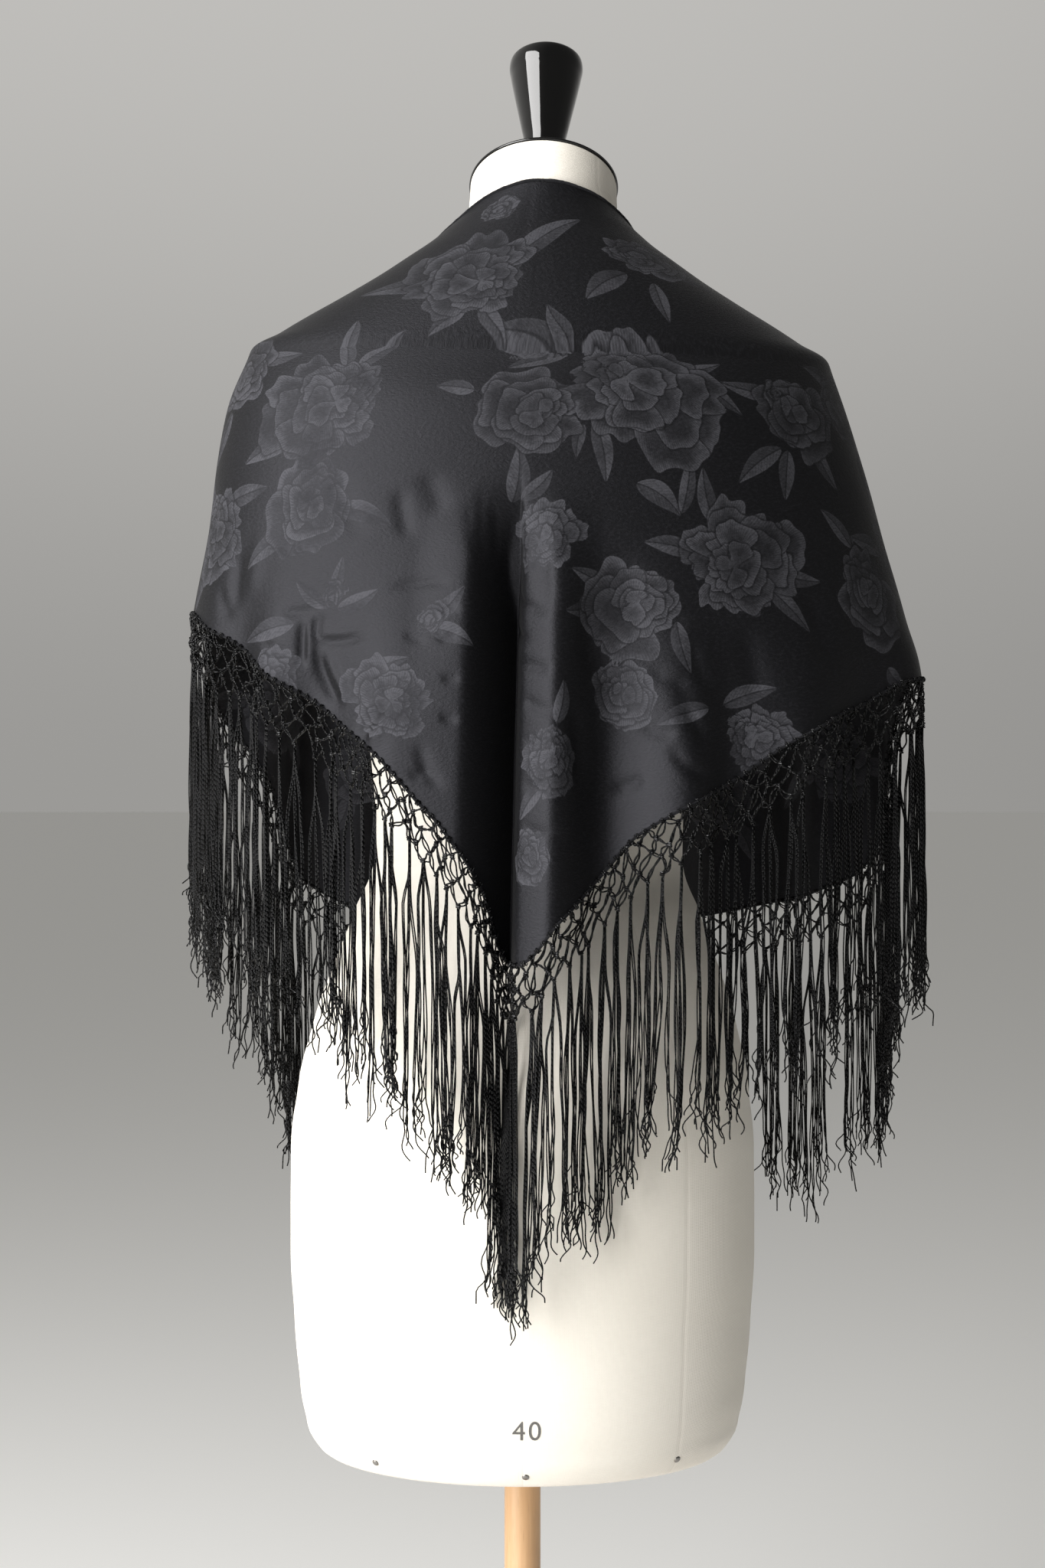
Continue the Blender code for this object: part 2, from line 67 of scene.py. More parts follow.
def colour(code):
    """An sRGB hex colour as linear red, green, blue and alpha."""
    parts = [int(code[i : i + 2], 16) / 255 for i in (1, 3, 5)]
    linear = [p / 12.92 if p <= 0.04045 else ((p + 0.055) / 1.055) ** 2.4 for p in parts]
    return (*linear, 1.0)


def add_node(tree, kind, inputs=(), **options):
    """Adds a node with its options; an input that is another node's output is linked."""
    made = tree.nodes.new(kind)
    for name, value in options.items():
        setattr(made, name, value)
    for key, value in inputs.items() if isinstance(inputs, dict) else enumerate(inputs):
        if isinstance(value, bpy.types.NodeSocket):
            tree.links.new(value, made.inputs[key])
        elif value is not None:
            made.inputs[key].default_value = value
    return made


def maths(tree, kind, *values):
    return add_node(tree, "ShaderNodeMath", values, operation=kind).outputs[0]


def ramp(tree, value, low, high, at_low=0.0, at_high=1.0, kind="LINEAR"):
    """Carries a value over from one range to another, evenly or by a smooth step."""
    given = (value, low, high, at_low, at_high)
    return add_node(tree, "ShaderNodeMapRange", given, interpolation_type=kind).outputs[0]


def new_material(name, **sockets):
    """A material whose Principled shader has these constants, and its node tree and shader."""
    made = bpy.data.materials.new(name)
    made.use_nodes = True
    shader = made.node_tree.nodes["Principled BSDF"]
    for key, value in sockets.items():
        shader.inputs[key.replace("_", " ")].default_value = value
    return made, made.node_tree, shader


bpy.ops.object.camera_add(location=CAMERA_PLACE, rotation=(math.radians(90), 0.0, 0.0))
camera = bpy.context.object
camera.name = "camera"
camera.data.lens = 50.0
camera.data.sensor_width = 36.0
bpy.context.scene.camera = camera
bpy.context.scene.view_settings.view_transform = "Standard"

bpy.ops.mesh.primitive_plane_add(size=FLOOR_SIZE)
floor = bpy.context.object
floor.name = "floor"
floor_paint, _, _ = new_material("matt_floor_paint", Base_Color=colour("#fafaf8"), Roughness=0.9)
floor.data.materials.append(floor_paint)

bpy.ops.object.light_add(type="AREA", location=PANEL_PLACE)
panel = bpy.context.object
panel.name = "window_panel"
panel.data.shape = "RECTANGLE"
panel.data.size = PANEL_WIDTH
panel.data.size_y = PANEL_HEIGHT
panel.data.energy = PANEL_POWER
panel.data.color = colour("#fffefd")[:3]
panel.rotation_euler = (PANEL_AIM - PANEL_PLACE).to_track_quat("-Z", "Y").to_euler()

sky = bpy.data.worlds.new("studio_air")
sky.use_nodes = True
bpy.context.scene.world = sky
background = sky.node_tree.nodes["Background"]
background.inputs["Color"].default_value = colour("#f6f4f0")
looking = add_node(sky.node_tree, "ShaderNodeTexCoord").outputs["Generated"]
towards_dim = add_node(
    sky.node_tree, "ShaderNodeVectorMath", (looking, DIM_SIDE), operation="DOT_PRODUCT"
).outputs["Value"]
strength = ramp(sky.node_tree, towards_dim, -0.7, 0.6, PALE_AIR, DIM_AIR, "SMOOTHSTEP")
_, _, looking_up = add_node(sky.node_tree, "ShaderNodeSeparateXYZ", (looking,)).outputs
rising = ramp(sky.node_tree, looking_up, 0.0, 0.38, 0.66, 1.06, "SMOOTHSTEP")
strength = maths(sky.node_tree, "MULTIPLY", strength, rising)
sky.node_tree.links.new(strength, background.inputs["Strength"])


# Base and pole
# A turned beech foot and a round beech pole with a clear satin varnish. Beech is pale and
# warm, its grain runs along the pole, and its rays show as short darker flecks.

BASE_RADIUS = 0.175
POLE_RADIUS = 0.0135
SOCKET_RADIUS = 0.0138
POLE_FOOT = 0.0163
POLE_TOP = 0.6337
GRAIN_MM = 2.5
FLECK_MM = 1.4


def select_nothing():
    if bpy.context.object and bpy.context.object.mode != "OBJECT":
        bpy.ops.object.mode_set(mode="OBJECT")
    bpy.ops.object.select_all(action="DESELECT")


def turn_on_lathe(name, rings, sides):
    """A turned solid: a cylinder through the first two (radius, height) rings, and its top
    drawn on through the others."""
    select_nothing()
    (radius, low), (_, high) = rings[:2]
    bpy.ops.mesh.primitive_cylinder_add(
        vertices=sides, radius=radius, depth=high - low, location=(0.0, 0.0, (low + high) / 2)
    )
    piece = bpy.context.object
    piece.name = name
    bpy.ops.object.transform_apply(location=True)
    bpy.ops.object.mode_set(mode="EDIT")
    bpy.ops.mesh.select_mode(type="FACE")
    bpy.ops.mesh.select_all(action="DESELECT")
    mesh = bmesh.from_edit_mesh(piece.data)
    max(mesh.faces, key=lambda face: face.calc_center_median().z).select_set(True)
    bmesh.update_edit_mesh(piece.data)
    grown = rings[1][0] / radius
    bpy.ops.transform.resize(value=(grown, grown, 1.0), center_override=(0.0, 0.0, high))
    for (before, low), (after, high) in zip(rings[1:-1], rings[2:]):
        grown = after / before
        bpy.ops.mesh.extrude_region_move(TRANSFORM_OT_translate={"value": (0.0, 0.0, high - low)})
        bpy.ops.transform.resize(value=(grown, grown, 1.0), center_override=(0.0, 0.0, high))
    bpy.ops.object.mode_set(mode="OBJECT")
    return piece


def soften_edges(piece, width, angle=32):
    """A small bevel on the hard edges, and smooth shading everywhere else."""
    select_nothing()
    bpy.context.view_layer.objects.active = piece
    piece.select_set(True)
    if width:
        bevel = piece.modifiers.new("Softened edges", "BEVEL")
        bevel.width = width
        bevel.segments = 3
        bevel.limit_method = "ANGLE"
        bevel.angle_limit = math.radians(angle)
        bpy.ops.object.modifier_apply(modifier=bevel.name)
    bpy.ops.object.shade_smooth_by_angle(angle=math.radians(angle))


def noise(tree, place, scale, **sockets):
    given = {"Vector": place, "Scale": scale, **sockets}
    return add_node(tree, "ShaderNodeTexNoise", given).outputs["Fac"]


def blended(tree, share, low, high):
    """One colour at a share of 0, the other at 1."""
    given = {0: share, 6: low, 7: high}
    return add_node(tree, "ShaderNodeMix", given, data_type="RGBA").outputs[2]


def varnished_beech(name, along):
    """Varnished beech with its grain along X or Z."""
    wood, tree, shader = new_material(name, Roughness=0.38, Coat_Weight=0.25, Coat_Roughness=0.22)
    place = add_node(tree, "ShaderNodeTexCoord").outputs["Object"]
    stretch = (1.0, 1.0, 0.05) if along == "Z" else (0.05, 1.0, 1.0)
    lengthwise = add_node(
        tree, "ShaderNodeMapping", {"Vector": place, "Scale": stretch}
    ).outputs["Vector"]
    grain = noise(tree, lengthwise, 1000 / GRAIN_MM, Detail=6.0, Roughness=0.6)
    bands = noise(tree, lengthwise, 90.0, Detail=2.0, Distortion=0.6)
    flecks = add_node(
        tree, "ShaderNodeTexVoronoi", {"Vector": lengthwise, "Scale": 1000 / FLECK_MM}, feature="F1"
    ).outputs["Distance"]
    fleck_mask = ramp(tree, flecks, 0.05, 0.22, 1.0, 0.0, "SMOOTHSTEP")
    base = blended(tree, bands, colour("#c99f73"), colour("#ddbb93"))
    grained = blended(tree, grain, colour("#b98e63"), base)
    shade = maths(tree, "MULTIPLY", fleck_mask, 0.32)
    flecked = blended(tree, shade, grained, colour("#8f6540"))
    bump = add_node(tree, "ShaderNodeBump", {"Height": grain, "Strength": 0.12, "Distance": 0.0004})
    tree.links.new(flecked, shader.inputs["Base Color"])
    tree.links.new(bump.outputs["Normal"], shader.inputs["Normal"])
    return wood


BASE_RINGS = (
    (BASE_RADIUS - 0.0030, 0.0),
    (BASE_RADIUS, 0.003),
    (BASE_RADIUS, 0.018),
    (BASE_RADIUS - 0.0015, 0.0205),
    (BASE_RADIUS - 0.0060, 0.0230),
    (0.120, 0.0262),
    (0.080, 0.0284),
    (0.054, 0.0300),
    (0.044, 0.0318),
    (0.037, 0.0352),
    (0.0335, 0.0395),
    (0.0302, 0.0470),
    (0.0290, 0.0540),
    (0.0275, 0.0570),
    (0.0255, 0.0580),
    (SOCKET_RADIUS, 0.0580),
    (SOCKET_RADIUS, 0.0160),
)
base = turn_on_lathe("turned_base", BASE_RINGS, 128)
soften_edges(base, 0.0)
base.data.materials.append(varnished_beech("varnished_beech_base", "X"))
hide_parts("base")
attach(base, "root")

pole = turn_on_lathe(
    "round_pole",
    ((POLE_RADIUS, POLE_FOOT), (POLE_RADIUS, 0.30), (POLE_RADIUS, POLE_TOP)),
    64,
)
soften_edges(pole, 0.0008)
pole.data.materials.append(varnished_beech("varnished_beech_pole", "Z"))
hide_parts("pole")
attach(pole, "root")


# Dress form
# Off-white cotton canvas sewn in eight panels and drawn tight over a padded shell. It is
# matt, with a plain weave that shows close to, and its seams lie in shallow furrows.

Section = namedtuple("Section", "level half_width back front")
Seam = namedtuple("Seam", "level princess side")

SHOULDER_LEVEL = 1.365
NECK_TOP_LEVEL = 1.494
NECK_SLANT = 0.36
LEAN = 0.0228
LEAN_FROM_LEVEL = 0.80
FORM_COLUMNS = 176
FORM_ROWS = 230
SLANT_FROM_LEVEL = 1.360
SLANT_GROWTH = 0.110
LEAN_GROWTH = 0.40
BREAST_LEVEL = 1.215
BREAST_HOLLOW = 0.0085
CANVAS_ROUND = 0.92
CANVAS_THREAD_MM = 1.1
BANDS_PER_SCALE = 3.2

FORM_SECTIONS = (
    Section(0.554, 0.1440, 0.0980, 0.0900),
    Section(0.562, 0.1540, 0.1060, 0.0970),
    Section(0.580, 0.1615, 0.1125, 0.1015),
    Section(0.612, 0.1665, 0.1170, 0.1040),
    Section(0.660, 0.1705, 0.1205, 0.1060),
    Section(0.715, 0.1730, 0.1245, 0.1080),
    Section(0.770, 0.1727, 0.1265, 0.1075),
    Section(0.820, 0.1685, 0.1240, 0.1050),
    Section(0.865, 0.1595, 0.1150, 0.1015),
    Section(0.910, 0.1455, 0.1010, 0.0975),
    Section(0.955, 0.1290, 0.0870, 0.0920),
    Section(1.005, 0.1150, 0.0760, 0.0865),
    Section(1.055, 0.1180, 0.0755, 0.0865),
    Section(1.110, 0.1290, 0.0835, 0.0960),
    Section(1.165, 0.1395, 0.0960, 0.1170),
    Section(1.220, 0.1500, 0.1090, 0.1400),
    Section(1.265, 0.1570, 0.1145, 0.1350),
    Section(1.305, 0.1660, 0.1140, 0.1150),
    Section(1.335, 0.1830, 0.1085, 0.0990),
    Section(1.353, 0.2020, 0.1030, 0.0910),
    Section(SHOULDER_LEVEL, 0.2145, 0.0990, 0.0865),
    Section(1.375, 0.1980, 0.0960, 0.0830),
    Section(1.385, 0.1815, 0.0925, 0.0790),
    Section(1.400, 0.1530, 0.0860, 0.0730),
    Section(1.425, 0.1085, 0.0730, 0.0640),
    Section(1.4445, 0.0785, 0.0640, 0.0590),
    Section(1.455, 0.0665, 0.0610, 0.0580),
    Section(1.466, 0.0585, 0.0590, 0.0575),
    Section(1.479, 0.0553, 0.0580, 0.0570),
    Section(NECK_TOP_LEVEL, 0.0546, 0.0575, 0.0565),
)

# Angles of the seams: the princess seams from the middle lines, back and front alike, and the
# side seams from the centre back
FORM_SEAMS = (
    Seam(0.554, 44.0, 90.0),
    Seam(0.700, 42.0, 90.0),
    Seam(0.820, 42.5, 90.0),
    Seam(1.005, 33.0, 90.0),
    Seam(1.220, 36.0, 92.0),
    Seam(1.340, 40.0, 90.0),
    Seam(1.400, 44.0, 88.0),
    Seam(1.494, 45.0, 90.0),
)


def smooth_step(share):
    share = np.clip(share, 0.0, 1.0)
    return share * share * (3.0 - 2.0 * share)


def bell(share):
    return np.exp(-share * share)


def column(rows, name):
    return np.array([getattr(row, name) for row in rows])


def through(rows, along, name, place):
    """The named column of a table at a place, on a cubic curve that never overshoots the rows."""
    x, y = column(rows, along), column(rows, name)
    steps = np.diff(x)
    rises = np.diff(y) / steps
    slopes = np.concatenate([rises[:1], np.zeros(len(x) - 2), rises[-1:]])
    with np.errstate(divide="ignore", invalid="ignore"):
        mean = 2.0 * rises[:-1] * rises[1:] / (rises[:-1] + rises[1:])
    slopes[1:-1] = np.where(rises[:-1] * rises[1:] > 0, mean, 0.0)
    place = np.clip(place, x[0], x[-1])
    row = np.clip(np.searchsorted(x, place, side="right") - 1, 0, len(steps) - 1)
    step, share = steps[row], (place - x[row]) / steps[row]
    from_start = y[row] + share * step * slopes[row]
    from_end = y[row + 1] - (1.0 - share) * step * slopes[row + 1]
    blend = smooth_step(share)
    return from_start * (1.0 - blend) + from_end * blend


def set_in_space(level, x, y):
    """Adds the neck's slant and the lean of the upper body."""
    z = level - NECK_SLANT * smooth_step((level - SLANT_FROM_LEVEL) / SLANT_GROWTH) * y
    z = z - LEAN * smooth_step((level - LEAN_FROM_LEVEL) / LEAN_GROWTH) * x
    return np.stack([x + LEAN * np.maximum(level - LEAN_FROM_LEVEL, 0.0), y, z], axis=-1)


def oval(angle, left, right, back, front):
    """Points of a full oval round the figure, and the level directions that face out of it."""
    s, c = np.sin(np.radians(angle)), np.cos(np.radians(angle))
    width = np.where(s > 0, right, left)
    depth = np.where(c > 0, back, front)
    out = np.stack([s / width, -c / depth], axis=-1)
    return width * s, -depth * c, out / np.linalg.norm(out, axis=-1, keepdims=True)


def form_outline(level, stand_off):
    return [through(FORM_SECTIONS, "level", name, level) + stand_off for name in Section._fields[1:]]


def form_points(level, angle, stand_off=0.0):
    half_width, back, front = form_outline(level, stand_off)
    x, y, _ = oval(angle, half_width, half_width, back, front)
    return set_in_space(level, x, y)


def canvas_points(level, angle):
    """The form's skin: the smooth form, a little hollow between the breasts."""
    points = form_points(level, angle)
    from_front = np.abs(np.abs(angle) - 180.0)
    hollow = BREAST_HOLLOW * bell(from_front / 13.0) * bell((level - BREAST_LEVEL) / 0.050)
    points[..., 1] -= hollow
    return points


def new_grid(name, columns, rows):
    """A flat grid of so many columns and rows, with each corner's share across and up."""
    select_nothing()
    bpy.ops.mesh.primitive_grid_add(x_subdivisions=columns, y_subdivisions=rows, size=2.0)
    piece = bpy.context.object
    piece.name = name
    flat = np.zeros(len(piece.data.vertices) * 3, np.float32)
    piece.data.vertices.foreach_get("co", flat)
    across, up = (flat.reshape(-1, 3)[:, :2].astype(float).T + 1.0) / 2.0
    return piece, across, up


def set_points(piece, points):
    piece.data.vertices.foreach_set("co", np.asarray(points, np.float32).ravel())
    piece.data.update()


def set_uv(piece, u, v):
    """Lays out the piece's own UV map from a place for each corner."""
    corners = np.zeros(len(piece.data.loops), np.int32)
    piece.data.loops.foreach_get("vertex_index", corners)
    flat = np.stack([u[corners], v[corners]], axis=1).astype(np.float32)
    layer = piece.data.uv_layers.active or piece.data.uv_layers.new(name="UVMap")
    layer.data.foreach_set("uv", flat.ravel())


def set_attribute(piece, name, values, kind="FLOAT"):
    made = piece.data.attributes.new(name, kind, "POINT")
    key = "vector" if kind == "FLOAT_VECTOR" else "value"
    made.data.foreach_set(key, np.asarray(values, np.float32).ravel())


def select_open_edges(piece, below=math.inf):
    """Selects the edges of an edited piece that border on one face only, up to a level."""
    bpy.ops.mesh.select_all(action="DESELECT")
    mesh = bmesh.from_edit_mesh(piece.data)
    for edge in mesh.edges:
        if edge.is_boundary and edge.verts[0].co.z < below:
            edge.select_set(True)
    bmesh.update_edit_mesh(piece.data)


def panel_of(level, angle):
    """Which canvas panel a point is on, as a number that is whole on each seam."""
    princess = through(FORM_SEAMS, "level", "princess", level)
    side = through(FORM_SEAMS, "level", "side", level)
    size = np.abs(angle)
    marks = [0.0 * princess, princess, side, 180.0 - princess, 180.0 + 0.0 * princess]
    panel = np.zeros_like(size)
    for number, (start, end) in enumerate(zip(marks[:-1], marks[1:])):
        panel = np.where(size >= start, number + (size - start) / (end - start), panel)
    return np.sign(angle) * panel


def sewn_canvas():
    """Cotton canvas: a plain weave with slubs, pale seams in soft furrows."""
    canvas, tree, shader = new_material(
        "cotton_canvas", Roughness=0.88, Sheen_Weight=0.12, Sheen_Roughness=0.5
    )
    shader.inputs["Specular IOR Level"].default_value = 0.25
    flat = add_node(tree, "ShaderNodeUVMap", uv_map="UVMap").outputs["UV"]
    bands = {
        "Vector": flat,
        "Scale": 1000 / CANVAS_THREAD_MM / BANDS_PER_SCALE,
        "Distortion": 0.8,
        "Detail": 1.0,
        "Detail Scale": 2.0,
    }
    threads = []
    for direction in ("X", "Y"):
        wave = add_node(tree, "ShaderNodeTexWave", bands, bands_direction=direction)
        threads.append(wave.outputs["Fac"])
    weave = maths(tree, "MULTIPLY", *threads)
    slubs = noise(tree, flat, 260.0, Detail=4.0, Roughness=0.7)
    clouds = noise(tree, flat, 9.0, Detail=3.0)
    panel = add_node(tree, "ShaderNodeAttribute", attribute_name="panel").outputs["Fac"]
    panel_mm = add_node(tree, "ShaderNodeAttribute", attribute_name="panel_mm").outputs["Fac"]
    shifted = maths(tree, "ADD", panel, 20.5)
    part = maths(tree, "FRACT", shifted)
    centred = maths(tree, "SUBTRACT", part, 0.5)
    from_seam = maths(tree, "MULTIPLY", centred, panel_mm)
    away = maths(tree, "ABSOLUTE", from_seam)
    line = ramp(tree, away, 0.25, 0.75, 1.0, 0.0, "SMOOTHSTEP")
    furrow = ramp(tree, away, 0.0, 3.2, 0.0, 1.0, "SMOOTHSTEP")
    tinted = blended(tree, clouds, colour("#e8e2d6"), colour("#f1ece3"))
    slub_share = ramp(tree, slubs, 0.35, 0.75, 0.0, 0.16)
    slubbed = blended(tree, slub_share, tinted, colour("#d9d4c9"))
    line_share = maths(tree, "MULTIPLY", line, 0.13)
    seamed = blended(tree, line_share, slubbed, colour("#a89d8a"))
    woven = maths(tree, "MULTIPLY", weave, 0.00010)
    sunk = maths(tree, "MULTIPLY_ADD", furrow, 0.00014, woven)
    bump = add_node(tree, "ShaderNodeBump", {"Height": sunk, "Strength": 0.9, "Distance": 1.0})
    tree.links.new(seamed, shader.inputs["Base Color"])
    tree.links.new(bump.outputs["Normal"], shader.inputs["Normal"])
    return canvas


form, turned_share, up_share = new_grid("padded_form", FORM_COLUMNS, FORM_ROWS)
form_angle = turned_share * 360.0 - 180.0
form_heights = np.linspace(FORM_SECTIONS[0].level, NECK_TOP_LEVEL, 1500)
form_widths = form_outline(form_heights, 0.0)[0]
climb = np.concatenate([[0.0], np.cumsum(np.hypot(np.diff(form_heights), np.diff(form_widths)))])
form_level = np.interp(up_share * climb[-1], climb, form_heights)
set_points(form, canvas_points(form_level, form_angle))
half_width, half_depth, _ = form_outline(form_level, 0.0)
girth = np.pi * (half_width + half_depth)
set_uv(form, turned_share * CANVAS_ROUND, up_share * climb[-1])
set_attribute(form, "panel", panel_of(form_level, form_angle))
set_attribute(form, "panel_mm", girth / 8.0 * 1000.0)

bpy.ops.object.mode_set(mode="EDIT")
bpy.ops.mesh.select_all(action="SELECT")
bpy.ops.mesh.remove_doubles(threshold=0.00001)
select_open_edges(form, 0.60)
for inward in (0.93, 0.60, 0.105):
    bpy.ops.mesh.extrude_region_move(TRANSFORM_OT_translate={"value": (0.0, 0.0, 0.0)})
    bpy.ops.transform.resize(value=(inward, inward, 1.0), center_override=(0.0, 0.0, 0.0))
bpy.ops.mesh.edge_face_add()
select_open_edges(form)
bpy.ops.mesh.edge_face_add()
bpy.ops.mesh.select_all(action="SELECT")
bpy.ops.mesh.normals_make_consistent(inside=False)
bpy.ops.object.mode_set(mode="OBJECT")
bpy.ops.object.shade_smooth_by_angle(angle=math.radians(50))
form.data.materials.append(sewn_canvas())
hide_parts("dress_form")
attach(form, "root")


# Studs and size number
# Small domed nickel studs hold the canvas at the bottom of its back seams. The size is
# stencilled in grey ink on the back, here as a plain number of its own.

STUD_RADIUS = 0.0026
STUDS = ((-41.5, 0.5675), (0.8, 0.5655), (44.0, 0.5690))
NUMBER = "40"
NUMBER_HEIGHT = 0.0135
DIGIT_SHARE = 0.70
INK_STAND_OFF = 0.00012
NUMBER_PLACE = (0.0030, 0.5935)

nickel, _, _ = new_material(
    "nickel_plated_steel", Base_Color=colour("#8d8a86"), Metallic=1.0, Roughness=0.32
)
studs = []
for angle, level in STUDS:
    select_nothing()
    at = form_points(np.array(level), np.array(angle))
    around = form_points(np.array(level), np.array(angle + 1.0)) - at
    upward = form_points(np.array(level + 0.002), np.array(angle)) - at
    out = Vector(np.cross(around, upward)).normalized()
    bpy.ops.mesh.primitive_uv_sphere_add(segments=20, ring_count=12, radius=STUD_RADIUS)
    stud = bpy.context.object
    stud.data.transform(Matrix.Diagonal((1.0, 1.0, 0.45, 1.0)))
    stud.data.transform(out.to_track_quat("Z", "Y").to_matrix().to_4x4())
    stud.data.transform(Matrix.Translation(Vector(at)))
    studs.append(stud)
select_nothing()
for stud in studs:
    stud.select_set(True)
bpy.context.view_layer.objects.active = studs[0]
bpy.ops.object.join()
studs = bpy.context.object
studs.name = "canvas_studs"
bpy.ops.object.shade_smooth()
studs.data.materials.append(nickel)
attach(studs, "root")

select_nothing()
bpy.ops.object.text_add()
number = bpy.context.object
number.name = "size_number"
number.data.body = NUMBER
number.data.size = NUMBER_HEIGHT / DIGIT_SHARE
number.data.align_x = "CENTER"
number.data.space_character = 1.15
number.data.extrude = 0.00008
number.data.resolution_u = 8
bpy.ops.object.convert(target="MESH")
number = bpy.context.object
ink_points = np.array([vertex.co for vertex in number.data.vertices])
ink_level = NUMBER_PLACE[1] + ink_points[:, 1]
half_width, half_depth, _ = form_outline(ink_level, 0.0)
ink_x = NUMBER_PLACE[0] + ink_points[:, 0]
ink_y = -half_depth * np.sqrt(1.0 - (ink_x / half_width) ** 2) - INK_STAND_OFF - ink_points[:, 2]
set_points(number, np.stack([ink_x, ink_y, ink_level], axis=1))
ink, ink_tree, ink_shader = new_material("stencil_ink", Roughness=0.75)
ink_place = add_node(ink_tree, "ShaderNodeTexCoord").outputs["Object"]
ink_noise = noise(ink_tree, ink_place, 900.0, Detail=3.0)
ink_tone = blended(ink_tree, ink_noise, colour("#3a3a3a"), colour("#787570"))
ink_tree.links.new(ink_tone, ink_shader.inputs["Base Color"])
number.data.materials.append(ink)
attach(number, "root")


# Neck plate and knob
# A thin oval plate closes the slanted neck and a turned knob stands square on it. Both are
# beech under black gloss lacquer, which mirrors the window in one bright upright band.

PLATE_THICKNESS = 0.002
PLATE_OVERHANG = 0.0011
FIT_GAP = 0.0003
LEAST_RING = 0.002
KNOB_PROFILE = (
    (0.0150, 0.0000),
    (0.0150, 0.0030),
    (0.0125, 0.0080),
    (0.0124, 0.0180),
    (0.0152, 0.0385),
    (0.0180, 0.0530),
    (0.0214, 0.0700),
    (0.0248, 0.0870),
    (0.0270, 0.0990),
    (0.0281, 0.1065),
    (0.0279, 0.1095),
    (0.0268, 0.1115),
    (0.0240, 0.1125),
    (0.0140, 0.1129),
    (0.0000, 0.1130),
)
Turned = namedtuple("Turned", "height radius")


def black_lacquer(name):
    """Gloss lacquer, sprayed and polished: deep black with a faint waviness."""
    lacquer, tree, shader = new_material(
        name, Base_Color=colour("#040404"), Roughness=0.09, Coat_Weight=1.0, Coat_Roughness=0.03
    )
    shader.inputs["Specular IOR Level"].default_value = 0.25
    place = add_node(tree, "ShaderNodeTexCoord").outputs["Object"]
    waves = noise(tree, place, 70.0, Detail=2.0)
    dust = noise(tree, place, 1400.0, Detail=4.0)
    tone = ramp(tree, dust, 0.60, 0.90, 0.05, 0.14, "SMOOTHSTEP")
    bump = add_node(tree, "ShaderNodeBump", {"Height": waves, "Strength": 0.25, "Distance": 0.0004})
    tree.links.new(tone, shader.inputs["Roughness"])
    tree.links.new(bump.outputs["Normal"], shader.inputs["Normal"])
    return lacquer


neck_place = Vector(set_in_space(np.array(NECK_TOP_LEVEL), np.array(0.0), np.array(0.0)))
neck_turn = Euler((-math.atan(NECK_SLANT), LEAN, 0.0)).to_matrix().to_4x4()
neck_frame = Matrix.Translation(neck_place) @ neck_turn

plate = turn_on_lathe(
    "lacquered_neck_plate",
    ((0.98, FIT_GAP), (1.0, FIT_GAP + 0.0005), (1.0, FIT_GAP + PLATE_THICKNESS)),
    96,
)
along_slant = math.hypot(1.0, NECK_SLANT)
neck_top = FORM_SECTIONS[-1]
plate_width = neck_top.half_width + PLATE_OVERHANG
plate_depth = (neck_top.back + neck_top.front) / 2 * along_slant + PLATE_OVERHANG
plate_middle = (neck_top.front - neck_top.back) / 2 * along_slant
plate.data.transform(Matrix.Diagonal((plate_width, plate_depth, 1.0, 1.0)))
plate.data.transform(Matrix.Translation((0.0, plate_middle, 0.0)))
plate.data.transform(neck_frame)
soften_edges(plate, 0.0004, 50)
plate.data.materials.append(black_lacquer("black_gloss_lacquer_plate"))
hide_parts("neck_plate")
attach(plate, "root")

knob_foot = PLATE_THICKNESS + 2 * FIT_GAP
knob_rows = [Turned(height, radius) for radius, height in KNOB_PROFILE]
knob_heights = [0.0, 0.0030, *np.linspace(0.0045, 0.106, 34)]
knob_heights += [0.1080, 0.1095, 0.1106, 0.1115, 0.1121, 0.1125, 0.1128]
knob_rings = []
for height in knob_heights:
    radius = float(through(knob_rows, "height", "radius", height))
    knob_rings.append((max(radius, LEAST_RING), knob_foot + height))
knob = turn_on_lathe("lacquered_knob", knob_rings, 96)
knob.data.transform(neck_frame)
soften_edges(knob, 0.0, 40)
knob.data.materials.append(black_lacquer("black_gloss_lacquer_knob"))
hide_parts("neck_handle")
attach(knob, "root")


# Damask shawl
# One triangle of black silk damask, worn with its long edge round the neck. Satin gives the
# ground its soft shine, and the flowers are woven in a duller face of the same thread.

Hang = namedtuple("Hang", "level left right back front")
Fold = namedtuple("Fold", "angle push top growth")
Edge = namedtuple("Edge", "angle level")

CLOTH_STAND_OFF = 0.0023
FOLD_CLEARANCE = 0.0058
FOLD_GROWTH = 0.18
TIP_ANGLE = -2.6
GRAIN_OF_SILK_MM = 1.7
CLOTH_COLUMNS = 440
CLOTH_ROWS = 218

HANG_SECTIONS = (
    Hang(1.310, 0.2350, 0.2365, 0.1200, 0.1190),
    Hang(1.230, 0.2440, 0.2610, 0.1275, 0.1490),
    Hang(1.176, 0.2520, 0.2765, 0.1320, 0.1540),
    Hang(1.130, 0.2570, 0.2875, 0.1360, 0.1580),
    Hang(1.050, 0.2610, 0.2930, 0.1430, 0.1630),
    Hang(0.900, 0.2650, 0.2980, 0.1520, 0.1690),
)

